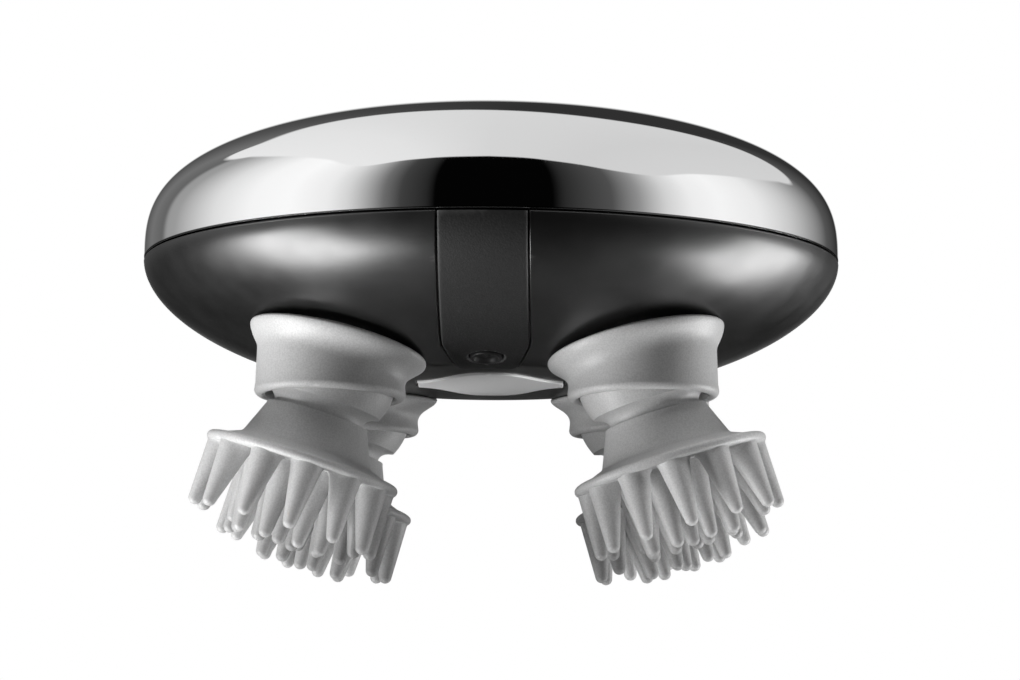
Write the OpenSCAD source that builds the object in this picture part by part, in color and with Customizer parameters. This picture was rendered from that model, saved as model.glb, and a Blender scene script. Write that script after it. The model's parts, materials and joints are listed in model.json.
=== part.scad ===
// Electric scalp massager: a pebble-shaped body that carries four nutating massage heads.
// +Z is up and the front, with the button, faces -Y. The origin lies under the body's centre,
// on the surface that the lowest finger tips stand on.

/* [Body] */
// Diameter of the body at the seam
body_d = 138.8; // [132:0.2:150]
// Height of the dome above the seam
dome_h = 29.5; // [28.2:0.1:36]
// Depth of the lower shell's curve below the seam
shell_curve_h = 26.1; // [25.2:0.1:27]
// Depth of the lower shell's flat floor below the seam
floor_h = 23.7; // [22.6:0.1:24.4]
// Wall thickness of the dome and the lower shell
wall = 2.2; // [1.6:0.1:2.4]
// Width of the open seam between dome and lower shell
seam_gap = 0.3; // [0.1:0.05:0.6]
// Height of the tongue inside the seam
tongue_h = 2.5; // [2:0.1:3.5]

/* [Front panel] */
// Width of the front strip panel
panel_w = 16.7; // [14:0.1:20]
// Distance from the body's axis to the strip's lower end
panel_end_r = 25.2; // [23:0.1:27]
// Length of the strip's tapered lower end
panel_taper_l = 14; // [8:0.5:18]
// Width of the strip at its lower end
panel_end_w = 11.6; // [8:0.1:14]
// Thickness of the strip
panel_t = 1.3; // [1:0.1:1.4]
// Height that the strip stands proud of the shell
panel_raise = 0.35; // [0.1:0.05:0.6]
// Gap all round the strip
panel_gap = 0.35; // [0.2:0.05:0.6]

/* [Button] */
// Diameter of the power button
button_d = 6.2; // [5:0.1:7.4]
// Distance from the body's axis to the button
button_r = 34; // [32:0.5:36]
// Gap round the button
button_gap = 0.25; // [0.15:0.05:0.4]
// Travel of the button
button_travel = 0.6; // [0.3:0.05:0.8]
// Width of the raised ring round the button
button_ring_w = 0.55; // [0.4:0.05:0.9]

/* [Bottom plate] */
// Length of the lens-shaped plate from tip to tip
plate_l = 29; // [24:1:34]
// Width of the plate at its middle
plate_w = 33; // [24:1:36]
// Length of the plate's wide middle
plate_mid_l = 19; // [14:1:20]
// Width of the plate's two tails
plate_tail_w = 6; // [4:0.5:8]
// Thickness of the plate
plate_t = 1.4; // [1:0.1:1.6]
// Depth of the pocket that the plate sits in
plate_pocket_h = 1; // [0.6:0.1:1.1]

/* [Gears] */
// Module of the spur gears
gear_module = 1.25; // [1.15:0.05:1.3]
// Teeth of the sun gear
sun_teeth = 40; // [36:2:44]
// Teeth of each output gear
output_teeth = 28; // [26:2:30]
// Face width of the spur gears
gear_w = 6; // [4:0.5:6.5]
// Module of the worm and its wheel
worm_module = 1; // [0.9:0.05:1.1]
// Teeth of the worm wheel
wheel_teeth = 24; // [20:2:26]
// Face width of the worm wheel
wheel_w = 3; // [2:0.2:4]
// Pitch diameter of the worm
worm_d = 8; // [7:0.2:9]
// Length of the worm's thread
worm_l = 14; // [10:1:16]
// Backlash of each gear mesh
backlash = 0.15; // [0.08:0.01:0.25]
// Radial running clearance of shafts in their bores
running_gap = 0.05; // [0.02:0.01:0.08]
// Axial gap beside each gear
axial_gap = 0.6; // [0.3:0.1:0.8]

/* [Gear case] */
// Thickness of the gear frame's plate
frame_t = 3; // [2:0.2:4]
// Depth of the gear frame's underside below the seam
frame_h = 7; // [6:0.2:8]
// Thickness of the gear cover
cover_t = 2; // [1.6:0.1:2.6]
// Distance from the body's axis to the four posts and long screws
post_r = 52; // [50:0.5:54]
// Diameter of the four posts
post_d = 7; // [6:0.2:8]
// Diameter of the long screws
screw_d = 2.5; // [2:0.1:3]
// Length of the bush bosses under the gear frame
boss_h = 8; // [5:0.5:8]
// Outer diameter of the output bushes
bush_d = 8; // [7:0.2:9]

/* [Output shafts] */
// Diameter of the crank's upright shaft and inclined stub
shaft_d = 5; // [4:0.1:5.4]
// Diameter of the crank's thick lower part
crank_d = 8; // [6.5:0.1:8.5]
// Tilt of the stubs and heads from upright
head_tilt = 17; // [12:0.5:18]
// Depth of the heads' pivot points below the seam
pivot_h = 25.8; // [25.4:0.1:27]

/* [Collars] */
// Outer diameter of the collar's sleeve
collar_d = 28.8; // [28.6:0.1:29.4]
// Diameter of the spherical seat inside the collar
seat_d = 26.6; // [26.6:0.1:26.8]
// Depth of the collar's lip below the pivot
lip_h = 4.7; // [4:0.1:4.8]
// Thickness of the rolled lip
lip_t = 2.4; // [2:0.1:2.6]
// Outward lean of the collar's sleeve
collar_lean = 2.5; // [0:0.5:3]
// Outward lean of the opening in the lower shell
opening_lean = 15; // [13:0.5:17]
// Diameter of the collar's flare on the shell
flare_d = 35; // [33:0.2:36]
// Height of the collar's flare
flare_h = 4.4; // [3:0.1:5]

/* [Massage heads] */
// Distance from the pivot to the sharp top edge of the cup
cup_top_s = 8.3; // [8.2:0.05:9]
// Diameter of the cup at its top edge
cup_top_d = 20; // [19.4:0.1:20.2]
// Distance from the pivot to the foot of the cup
cup_foot_s = 15.6; // [14.6:0.1:16.2]
// Diameter of the cup at its foot
cup_foot_d = 26; // [25:0.1:27.4]
// Distance from the pivot to the flange's middle
flange_s = 18.1; // [17.6:0.1:19]
// Diameter of the flange
flange_d = 37.4; // [36:0.1:39]
// Thickness of the flange's rim
flange_t = 1.8; // [1.4:0.1:2.2]
// Length of the outer fingers from the flange's middle to the tip
finger_l = 13.8; // [9:0.1:15]
// Length of the inner fingers from the flange's middle to the tip
inner_finger_l = 16.2; // [9:0.1:17]
// Diameter of a finger at its base
finger_base_d = 6.6; // [5:0.1:7]
// Diameter of a finger at its round tip
finger_tip_d = 2.6; // [2:0.1:3.2]
// Number of fingers in the outer ring
outer_fingers = 12; // [10:1:12]
// Number of fingers in the inner ring
inner_fingers = 8; // [6:1:8]
// Radius of the inner ring of fingers
inner_ring_r = 8.6; // [8:0.1:9]
// Outward splay of the outer fingers
splay = 10; // [0:0.5:11]
// Outer diameter of the neck
neck_d = 17.7; // [17.4:0.1:17.9]
// Wall of the neck boot
boot_t = 1.1; // [0.9:0.05:1.2]
// Gap between the boot's spherical skirt and the collar's seat
skirt_gap = 0.4; // [0.35:0.05:0.5]

/* [Drive unit] */
// Width of the motor
motor_d = 20.4; // [18:0.2:21]
// Height of the motor over its flat sides
motor_h = 15.4; // [14:0.2:15.6]
// Length of the motor's can
motor_l = 25; // [22:0.5:27]
// Diameter of the motor's shaft
motor_shaft_d = 2; // [1.5:0.1:2.5]
// Length of the battery
battery_l = 48; // [40:1:50]
// Width of the battery
battery_w = 28; // [24:1:29]
// Height of the battery
battery_h = 9; // [7:0.5:10]
// Wall of the battery tray
tray_t = 1.2; // [1:0.1:1.6]
// Thickness of the circuit boards
board_t = 1.2; // [0.8:0.1:1.6]

/* [Hidden] */
$fn = 96;

// Stations of the four heads: front left, front right, rear left, rear right.
SIDE_X = [-1, 1, -1, 1];
SIDE_Y = [-1, -1, 1, 1];
// Turn of each massage head on its hub
HEAD_TURN = [9, 0, 0, 9];

body_r = body_d / 2;
dome_fullness = 2.08;
dome_edge = 2.95;
shell_fullness = 2.05;
shell_edge = 1.87;
profile_steps = 36;
eps = 0.01;
touch = 0.05;
press_gap = 0.02;

// Gears
sun_r = gear_module * sun_teeth / 2;
output_r = gear_module * output_teeth / 2;
station_r = sun_r + output_r;
station_x = station_r * cos(45);
wheel_r = worm_module * wheel_teeth / 2;
worm_r = worm_d / 2;
worm_lead = PI * worm_module;
pressure_angle = 20;

// Levels of the gear case, above the seam
frame_top = frame_t - frame_h;
gear_z = frame_top + axial_gap;
cover_z = gear_z + gear_w + axial_gap;
deck_z = cover_z + cover_t;
motor_z = deck_z + motor_h / 2;
worm_y = -(wheel_r + worm_r);
axle_r = 2;
axle_boss_t = 2.5;
axle_boss_h = 4;
hub_r = 5;
boss_r = bush_d / 2 + 2;
bush_flange = 0.4;

// Massage head
finger_s = flange_s + finger_l - finger_tip_d / 2;
inner_s = flange_s + inner_finger_l - finger_tip_d / 2;
outer_base_r = flange_d / 2 - finger_base_d / 2;
outer_tip_r = outer_base_r + (finger_s - flange_s) * tan(splay);
seat_r = seat_d / 2;
skirt_r = seat_r - skirt_gap;
skirt_top = 95;
skirt_low = 64;
boot_r = neck_d / 2;
hub_neck_r = boot_r - boot_t - touch;
hub_top_s = 4.8;
hub_disc_s = 13.2;
hub_disc_r = 10;
hub_pocket_s = 14.8;
hub_pocket_r = 4.4;
hub_end_s = flange_s - 1.2;
hub_disc_low_s = hub_end_s - 0.6;
// Bead that keeps the boot on the hub's neck
bead = 0.5;
bead_low = 1.4;
bead_high = 0.6;
boot_foot_s = cup_top_s + 4;
clip_t = 0.6;
clip_r = 3.8;
groove_s = hub_pocket_s + 0.3;
groove_r = shaft_d / 2 - 0.6;
shoulder_gap = 0.3;

// Depth below the pivot of a finger of head h that ends at depth s and radius r on its axis
function finger_depth(h, s, r, turn) =
    s * cos(head_tilt) - r * cos(turn + HEAD_TURN[h]) * SIDE_X[h] * sin(head_tilt);
rest_h = pivot_h + finger_tip_d / 2 + max(concat(
    [for (h = [0:3], k = [0:outer_fingers - 1])
        finger_depth(h, finger_s, outer_tip_r, 360 * k / outer_fingers)],
    [for (h = [0:3], k = [0:inner_fingers - 1])
        finger_depth(h, inner_s, inner_ring_r, 360 * (k + 0.5) / inner_fingers)]));

// Height of the dome and depth of the lower shell at radius r, for an outline pulled in by t
function dome_z(r, t) =
    (dome_h - t) * pow(max(0, 1 - pow(r / (body_r - t), dome_fullness)), 1 / dome_edge);
function shell_z(r, t) =
    -(shell_curve_h - t) * pow(max(0, 1 - pow(r / (body_r - t), shell_fullness)), 1 / shell_edge);
function dome_curve(t) =
    [for (i = [0:profile_steps])
        let (r = (body_r - t) * sin(90 * i / profile_steps))
        [r, dome_z(r, t)]];
function shell_curve(t) =
    [for (i = [0:profile_steps])
        let (r = (body_r - t) * sin(90 * i / profile_steps)) [r, max(shell_z(r, t), t - floor_h)]];

// Slope of the lower shell where the button sits
button_slope = atan(shell_z(button_r + 0.5, 0) - shell_z(button_r - 0.5, 0));

// A solid below the dome's outline or above the lower shell's outline, pulled in by t
module dome_body(t) rotate_extrude($fn = 180) polygon(concat([[0, 0]], dome_curve(t)));
module shell_body(t)
    rotate_extrude($fn = 180) polygon(concat([[0, 0]], shell_curve(t)));

// A tube along Z from z0 to z1
module tube(outer_r, inner_r, z0, z1)
    translate([0, 0, z0])
    difference() {
        cylinder(r = outer_r, h = z1 - z0);
        translate([0, 0, -1]) cylinder(r = inner_r, h = z1 - z0 + 2);
    }
module rod(r, z0, z1) translate([0, 0, z0]) cylinder(r = r, h = z1 - z0);

// Places: everything is drawn from the seam's centre and lifted to stand on the finger tips
module lifted() translate([0, 0, rest_h]) children();
module at_station(h) lifted() translate([SIDE_X[h] * station_x, SIDE_Y[h] * station_x, 0]) children();
module at_pivot(h) at_station(h) translate([0, 0, -pivot_h]) children();
// The head's own frame: its fingers point along -Z
module at_head(h) at_pivot(h) rotate([0, -SIDE_X[h] * head_tilt, 0]) children();
// Leans +Z towards the body's axis by a, so that -Z leans outwards
module leaning(h, a)
    rotate([0, 0, atan2(SIDE_Y[h], SIDE_X[h])]) rotate([0, -a, 0]) children();
module at_stations() for (h = [0:3]) at_station(h) children();
module at_posts() lifted() for (a = [0:90:270]) rotate([0, 0, a]) translate([post_r, 0, 0]) children();
// The button's own frame: +Z points straight out of the shell
module at_button()
    lifted() translate([0, -button_r, shell_z(button_r, 0)]) rotate([180 - button_slope, 0, 0]) children();

// Involute gear outline
function involute_angle(r, base_r) =
    let (a = acos(min(1, base_r / r))) tan(a) * 180 / PI - a;
function tooth_half(r, pitch_r, teeth, play) =
    90 / teeth - play / 2 / pitch_r * 180 / PI
    + involute_angle(pitch_r, pitch_r * cos(pressure_angle))
    - involute_angle(r, pitch_r * cos(pressure_angle));
module gear_outline(m, teeth, play) {
    pitch_r = m * teeth / 2;
    radii = [for (f = [-1.25, -0.5, 0.3, 1]) pitch_r + f * m];
    polygon([for (k = [0:teeth - 1], i = [0:7])
        let (
            r = radii[i < 4 ? i : 7 - i],
            side = i < 4 ? -1 : 1,
            a = 360 * k / teeth + side * tooth_half(r, pitch_r, teeth, play)
        )
        r * [cos(a), sin(a)]]);
}

// Clearances that ring the mechanism
gasket_in = body_r - wall - 1.5;
gasket_out = body_r - wall - 0.3;
gasket_h = 0.8;
tongue_out = body_r - wall - 0.2;
tongue_in = body_r - wall - 1.8;
ledge_z = tongue_h + gasket_h + 0.1;
ledge_t = 2;
hook_r = tongue_in - 0.2;
hook_t = 1.4;
hook_w = 9;
hook_low = 4;
hook_count = 6;
barb_t = 0.9;
barb_low = 3.1;
barb_high = 1.9;
window_gap = 0.3;
rib_low = 5;
rib_high = 1.2;

module at_hooks() for (i = [0:hook_count - 1]) rotate([0, 0, 360 * i / hook_count]) children();
module tongue_window()
    translate([0, -hook_w / 2 - window_gap, -barb_low - window_gap])
    cube([body_r, hook_w + 2 * window_gap, barb_low - barb_high + 2 * window_gap]);

module top_cover() color("silver") lifted() {
    difference() {
        translate([0, 0, seam_gap]) dome_body(0);
        dome_body(wall);
        translate([0, 0, -1]) cylinder(r = body_r - wall, h = ledge_z + 1);
    }
    // Ledge over the gasket
    tube(body_r - wall / 2, tongue_in, ledge_z, ledge_z + ledge_t);
    // Snap hooks
    at_hooks() intersection() {
        union() {
            tube(hook_r, hook_r - hook_t, -hook_low, ledge_z + ledge_t - 0.1);
            tube(hook_r + barb_t, hook_r - hook_t, -barb_low, -barb_high);
            tube(tongue_in + ledge_t / 2, hook_r - hook_t, ledge_z + 0.1, ledge_z + ledge_t - 0.1);
        }
        translate([0, -hook_w / 2, -hook_low]) cube([body_r, hook_w, hook_low + ledge_z + ledge_t]);
    }
}

module rim_gasket() color("dimgray") lifted()
    tube(gasket_out, gasket_in, tongue_h + touch, tongue_h + gasket_h);

// Shell openings and their flat inner seats, as high as the ring's edge needs to clear the wall
land_w = 2.8;
land_clear = 1;
flare_top_s = 9;
root_r = collar_d / 2 - 0.2;
opening_r = root_r + 0.1;
land_r = opening_r + land_w;
function land_s(s) =
    (pivot_h + land_clear - land_r * sin(opening_lean)
        + shell_z(station_r + land_r * cos(opening_lean) - s * sin(opening_lean), wall))
    / cos(opening_lean);
seat_land_s = land_s(land_s(flare_top_s));
module lower_shell() color([0.13, 0.13, 0.14]) difference() {
    union() {
        lifted() {
            difference() {
                shell_body(0);
                shell_body(wall);
                translate([0, 0, -eps]) cylinder(r = body_r - wall, h = 1);
            }
            // Tongue that centres the dome
            difference() {
                union() {
                    tube(tongue_out, tongue_in, -rib_high, tongue_h);
                    intersection() {
                        tube(body_r, tongue_in, -rib_low, -rib_high);
                        shell_body(wall / 2);
                    }
                }
                at_hooks() tongue_window();
            }
        }
        // Posts for the gear frame
        intersection() {
            at_posts() rod(post_d / 2, -floor_h, -frame_h - touch);
            lifted() shell_body(wall / 2);
        }
        // Raised lands round the collar openings
        intersection() {
            for (h = [0:3]) at_pivot(h) leaning(h, opening_lean)
                tube(land_r, opening_r, 0, seat_land_s);
            lifted() shell_body(wall / 2);
        }
        // Pillars for the switch board, with melted pins
        intersection() {
            at_button() for (x = [-1, 1]) translate([x * board_post_x, 0, 0]) {
                rod(2 * board_pin_r, touch - board_z, 0);
                rod(board_pin_r, -board_z - board_t - 0.3, 0);
            }
            lifted() shell_body(wall / 2);
        }
    }
    for (h = [0:3]) at_pivot(h) leaning(h, opening_lean) rod(opening_r, -10, seat_land_s + 1);
    lifted() panel_pocket();
    lifted() plate_pocket();
    at_button() rod(button_d / 2 + button_gap, -wall - 2, 2);
    at_posts() rod(screw_d / 2 + running_gap, -frame_h - 7.5, 1);
    at_contacts() rod(contact_r + running_gap, -wall - 2, 2);
    at_contacts() rod(contact_r + contact_rim, -contact_sink - contact_t - touch, 2);
}

// Front strip: a band of the shell's own curve inside a tapered plan outline
function panel_half(grow) = [
    [panel_w / 2 + grow, -body_r - 5],
    [panel_w / 2 + grow, -panel_end_r - panel_taper_l - grow / 3],
    [panel_end_w / 2 + grow, -panel_end_r - 1.5 + grow / 3],
    [panel_end_w / 2 - 1.5 + grow, -panel_end_r + grow]];
module panel_plan(grow) {
    half = panel_half(grow);
    polygon(concat(half, [for (i = [len(half) - 1:-1:0]) [-half[i][0], half[i][1]]]));
}
module panel_prism(grow)
    translate([0, 0, -shell_curve_h - 5])
    linear_extrude(height = shell_curve_h + 5 - seam_gap / 2) panel_plan(grow);
module panel_pocket()
    difference() {
        panel_prism(panel_gap);
        shell_body(panel_t - panel_raise + 0.1);
        translate([0, 0, -seam_gap / 2]) cylinder(r = body_r + 6, h = 20);
    }
module front_panel() color([0.16, 0.16, 0.17]) difference() {
    lifted() intersection() {
        difference() {
            shell_body(-panel_raise);
            shell_body(panel_t - panel_raise);
        }
        panel_prism(0);
    }
    at_button() rod(button_d / 2 + button_gap, -5, 5);
}

// Button with a dished face and a stem that meets the switch
board_post_x = 7.4;
board_pin_r = 0.75;
button_face = 0.25;
button_foot = -wall - 0.5;
button_flange_t = 0.6;
stem_r = 1.2;
switch_w = 4.5;
switch_h = 3.1;
plunger_h = button_travel + 0.1;
plunger_r = 0.9;
switch_top = button_foot - button_flange_t - button_travel - 0.4;
board_z = switch_h - switch_top;
module power_button() color([0.14, 0.14, 0.15]) at_button() {
    difference() {
        union() {
            rod(button_d / 2, button_foot, panel_raise + button_face);
            rod(stem_r, switch_top + plunger_h, button_foot);
        }
        translate([0, 0, panel_raise + button_face]) difference() {
            translate([0, 0, -button_face]) cylinder(r = button_d / 2 - button_ring_w, h = 2);
            rod(button_d / 2 - 2 * button_ring_w, -1, -button_face / 2);
        }
    }
    // Flange that keeps the button in
    rod(button_d / 2 + 0.9, button_foot - button_flange_t, button_foot);
}
module switch_plunger() color("ivory") at_button()
    rod(plunger_r, switch_top - button_travel - 0.1, switch_top + plunger_h - touch);
module tact_switch() color("dimgray") at_button() difference() {
    translate([-switch_w / 2, -switch_w / 2, touch - board_z]) cube([switch_w, switch_w, switch_h - touch]);
    rod(plunger_r + running_gap, switch_top - 2 * button_travel - 0.3, 0);
}
module switch_board() color("darkgreen") at_button() difference() {
    translate([-board_post_x - 2, -4.5, -board_z - board_t]) cube([2 * board_post_x + 4, 9, board_t]);
    for (x = [-1, 1]) translate([x * board_post_x, 0, 0])
        rod(board_pin_r + running_gap, -board_z - board_t - 1, 0);
}

// Lens-shaped bottom plate with two tails
plate_steps = 24;
function plate_half(x, grow) =
    plate_tail_w / 2 + grow + (plate_w - plate_tail_w) / 2 * exp(-pow(abs(2 * x / plate_mid_l), 3));
module plate_plan(grow) {
    reach = plate_l / 2 + grow;
    xs = [for (i = [0:plate_steps]) reach * (2 * i / plate_steps - 1)];
    polygon(concat(
        [for (x = xs) [x, -plate_half(x, grow)]],
        [for (i = [plate_steps:-1:0]) [xs[i], plate_half(xs[i], grow)]]));
}
module plate_pocket()
    translate([0, 0, -floor_h - 1]) linear_extrude(height = 1 + plate_pocket_h) plate_plan(panel_gap);
module bottom_plate() color("lightgray") lifted()
    translate([0, 0, -floor_h + plate_pocket_h - plate_t - touch])
    linear_extrude(height = plate_t) plate_plan(0);

// Gear case
module deck_outline() {
    circle(r = sun_r + 3);
    for (h = [0:3]) rotate(90 * h + 45) {
        translate([station_r, 0]) circle(r = boss_r + 1.5);
        translate([station_r / 2, 0]) square([station_r, boss_r * 2], center = true);
    }
    for (h = [0:3]) rotate(90 * h) {
        translate([post_r, 0]) circle(r = post_d / 2 + 1);
        translate([post_r / 2, 0]) square([post_r, post_d], center = true);
    }
}
module gear_frame() color("gainsboro") difference() {
    union() {
        lifted() translate([0, 0, -frame_h]) linear_extrude(height = frame_t) deck_outline();
        at_stations() rod(boss_r, -frame_h - boss_h, -frame_h + eps);
        lifted() rod(axle_r + axle_boss_t, -frame_h - axle_boss_h, -frame_h + eps);
        // Spacer sleeves under the gear cover
        at_posts() rod(post_d / 2, frame_top - eps, cover_z - touch);
    }
    at_stations() rod(bush_d / 2 + press_gap, -frame_h - boss_h - 1, frame_top + 1);
    lifted() rod(axle_r + press_gap, -frame_h - axle_boss_h + 1, frame_top + 1);
    at_posts() rod(screw_d / 2 + running_gap, -frame_h - 1, cover_z + 1);
}
module gear_cover() color("gainsboro") difference() {
    lifted() translate([0, 0, cover_z]) linear_extrude(height = cover_t) deck_outline();
    at_stations() rod(upper_bush_r + press_gap, cover_z - 1, deck_z + 1);
    lifted() rod(hub_r + 0.5, cover_z - 1, deck_z + 1);
    at_posts() rod(screw_d / 2 + running_gap, cover_z - 1, deck_z + 1);
    lifted() for (y = CLAMP_Y) translate([clamp_x, y, 0])
        rod(clamp_screw_r + running_gap, cover_z - 1, deck_z + 1);
}
screw_reach = 6;
module case_screws() color("silver") at_posts() difference() {
    union() {
        rod(screw_d / 2, -frame_h - screw_reach, deck_z + touch + eps);
        rod(screw_d, deck_z + touch, deck_z + 1.8);
    }
    rod(screw_d / 3, deck_z + 1, deck_z + 2);
}

// Bushes of the output shafts
upper_bush_r = shaft_d / 2 + 1.2;
module lower_bushes() color("darkgoldenrod") at_stations() union() {
    tube(bush_d / 2, shaft_d / 2 + running_gap, -frame_h - boss_h, frame_top);
    tube(bush_d / 2 + 1, shaft_d / 2 + running_gap,
        -frame_h - boss_h - bush_flange - touch, -frame_h - boss_h - touch);
}
module upper_bushes() color("darkgoldenrod") at_stations()
    tube(upper_bush_r, shaft_d / 2 + running_gap, cover_z, deck_z);

// Drive gear: the sun gear and the worm wheel share one hub
module drive_axle() color("silver") lifted()
    rod(axle_r, -frame_h - axle_boss_h + 1 + touch, motor_z + wheel_w / 2 + 2);
rim_w = 3.5;
web_rim = 2.8;
module drive_gear() color("white") lifted() difference() {
    union() {
        translate([0, 0, gear_z]) linear_extrude(height = gear_w)
            gear_outline(gear_module, sun_teeth, backlash);
        rod(hub_r, gear_z, motor_z + wheel_w / 2 + 0.5);
        translate([0, 0, motor_z - wheel_w / 2]) linear_extrude(height = wheel_w)
            gear_outline(worm_module, wheel_teeth, worm_play);
    }
    rod(axle_r + running_gap, gear_z - 1, motor_z + wheel_w);
    // Web between rim and hub
    difference() {
        rod(sun_r - rim_w, gear_z + gear_w / 2 + 1, gear_z + gear_w + 1);
        rod(hub_r + 1, gear_z, gear_z + gear_w + 2);
    }
    for (a = [0:60:300]) rotate([0, 0, a]) translate([(hub_r + sun_r - rim_w) / 2 + 0.5, 0, 0])
        rod((sun_r - rim_w - hub_r) / 2 - web_rim, gear_z - 1, gear_z + gear_w + 1);
}

// Worm: a single-start thread, swept round its axis
worm_play = 0.5;
worm_points = 20;
worm_slices = 56;
worm_tip_half = worm_lead / 4 - worm_play / 4 - worm_module * tan(pressure_angle);
worm_root_half = worm_lead / 4 - worm_play / 4 + 1.2 * worm_module * tan(pressure_angle);
function worm_radius(a) =
    let (x = abs(a) / 360 * worm_lead, f = (x - worm_tip_half) / (worm_root_half - worm_tip_half))
    worm_r + worm_module * (1 - 2.2 * min(1, max(0, f)));
module at_worm() lifted() translate([0, worm_y, motor_z]) rotate([0, 90, 0]) children();
module worm() color("white") at_worm() difference() {
    translate([0, 0, -worm_l / 2]) rotate([0, 0, 270 - 180 * worm_l / worm_lead])
        linear_extrude(height = worm_l, twist = -360 * worm_l / worm_lead, slices = worm_slices,
            $fn = worm_points)
        polygon([for (i = [0:worm_points - 1])
            let (a = 360 * i / worm_points - 180)
            worm_radius(a) * [cos(a), sin(a)]]);
    rod(motor_shaft_d / 2 + press_gap, -worm_l, worm_l);
}
// The motor starts clear of the worm's end and of the worm wheel's teeth
wheel_clear = 0.6;
motor_x = max(worm_l / 2 + 3,
    sqrt(pow(wheel_r + worm_module + wheel_clear, 2) - pow(worm_y + motor_d / 2, 2)));
bearing_x = worm_l / 2 + 1.5;
bearing_w = 3;
bearing_r = 4;
bearing_foot = 3;
motor_nose_r = 3;
tag_l = 3;
module motor_shaft() color("silver") at_worm()
    rod(motor_shaft_d / 2, -motor_x - motor_l + 2, bearing_x + bearing_w + 0.6);
module motor() color("darkgray") at_worm() difference() {
    union() {
        intersection() {
            rod(motor_d / 2, -motor_x - motor_l, -motor_x);
            translate([-motor_h / 2, -motor_d, -motor_x - motor_l])
                cube([motor_h, motor_d * 2, motor_l]);
        }
        rod(motor_nose_r, -motor_x - eps, -motor_x + 1.4);
        // Solder tags
        for (y = [-1, 1]) translate([-1, y * motor_d / 4 - 1, -motor_x - motor_l - tag_l])
            cube([0.5, 2, tag_l + eps]);
    }
    rod(motor_shaft_d / 2 + running_gap, -motor_x - motor_l + 1, -motor_x + 3);
}
module worm_bearing() color("gainsboro") lifted() difference() {
    union() {
        translate([bearing_x, worm_y, motor_z]) rotate([0, 90, 0])
            cylinder(r = bearing_r, h = bearing_w);
        translate([bearing_x, worm_y - bearing_r, deck_z + touch])
            cube([bearing_w, 2 * bearing_r, motor_z - deck_z - touch]);
        translate([bearing_x, worm_y - bearing_r - bearing_foot, deck_z + touch])
            cube([bearing_w + bearing_foot, 2 * (bearing_r + bearing_foot), 1.6]);
    }
    translate([bearing_x - 1, worm_y, motor_z]) rotate([0, 90, 0])
        cylinder(r = motor_shaft_d / 2 + running_gap, h = bearing_w + 2);
}

// Strap that holds the motor down
clamp_t = 1.2;
clamp_w = 9;
clamp_x = -motor_x - motor_l * 0.4;
clamp_foot = 4;
clamp_screw_r = 0.85;
CLAMP_Y = [for (s = [-1, 1]) worm_y + s * (motor_d / 2 + clamp_t + clamp_foot / 2)];
module motor_clamp() color("silver") lifted() difference() {
    union() {
        intersection() {
            translate([clamp_x - clamp_w / 2, worm_y, motor_z]) rotate([0, 90, 0])
                cylinder(r = motor_d / 2 + touch + clamp_t, h = clamp_w);
            translate([clamp_x - clamp_w, worm_y - motor_d, deck_z + touch])
                cube([clamp_w * 2, motor_d * 2, motor_h + clamp_t]);
        }
        translate([clamp_x - clamp_w / 2, worm_y - motor_d / 2 - clamp_t - clamp_foot, deck_z + touch])
            cube([clamp_w, motor_d + 2 * clamp_t + 2 * clamp_foot, clamp_t]);
    }
    intersection() {
        translate([clamp_x - clamp_w, worm_y, motor_z]) rotate([0, 90, 0])
            cylinder(r = motor_d / 2 + touch, h = clamp_w * 2);
        translate([clamp_x - clamp_w, worm_y - motor_d, deck_z - 1])
            cube([clamp_w * 2, motor_d * 2, motor_h + 1 + touch]);
    }
    for (y = CLAMP_Y) translate([clamp_x, y, 0])
        rod(clamp_screw_r + running_gap, deck_z - 1, deck_z + clamp_t + 1);
}
module clamp_screws() color("silver") lifted() for (y = CLAMP_Y) translate([clamp_x, y, 0]) {
    rod(clamp_screw_r, cover_z + 0.2, deck_z + clamp_t + 2 * touch + eps);
    rod(2 * clamp_screw_r, deck_z + clamp_t + 2 * touch, deck_z + clamp_t + 1.3);
}

// Battery, its tray and the main board above it
tray_gap = 0.3;
tray_y = wheel_r + worm_module + 1.6;
battery_y = tray_y + tray_t + tray_gap;
battery_z = deck_z + touch + tray_t + touch;
tray_w = battery_w + 2 * (tray_gap + tray_t);
tray_post = 1.2;
main_board_z = battery_z + battery_h + 1.5;
module battery_tray() color("gainsboro") lifted() {
    difference() {
        translate([-battery_l / 2 - tray_gap - tray_t, tray_y, deck_z + touch])
            cube([battery_l + 2 * (tray_gap + tray_t), tray_w, tray_t + battery_h * 0.6]);
        translate([-battery_l / 2 - tray_gap, tray_y + tray_t, deck_z + touch + tray_t])
            cube([battery_l + 2 * tray_gap, battery_w + 2 * tray_gap, battery_h]);
    }
    // Corner posts that carry the main board
    for (x = [-main_board_l / 2, main_board_l / 2 - tray_post], y = [tray_y, tray_y + tray_w - tray_post])
        translate([x, y, deck_z + touch + battery_h / 2])
        cube([tray_post, tray_post, main_board_z - deck_z - 2 * touch - battery_h / 2]);
}
module battery() color("royalblue") lifted() {
    r = 2;
    translate([-battery_l / 2, battery_y, battery_z]) union() {
        translate([0, r, 0]) cube([battery_l, battery_w - 2 * r, battery_h]);
        translate([0, 0, r]) cube([battery_l, battery_w, battery_h - 2 * r]);
        for (y = [r, battery_w - r], z = [r, battery_h - r])
            translate([0, y, z]) rotate([0, 90, 0]) cylinder(r = r, h = battery_l);
    }
}
main_board_l = 40;
controller_w = 7;
driver_l = 5;
driver_w = 4;
chip_t = 1.2;
capacitor_r = 2.5;
capacitor_h = 3;
plug_l = 8;
plug_w = 5;
plug_h = 2.6;
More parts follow.
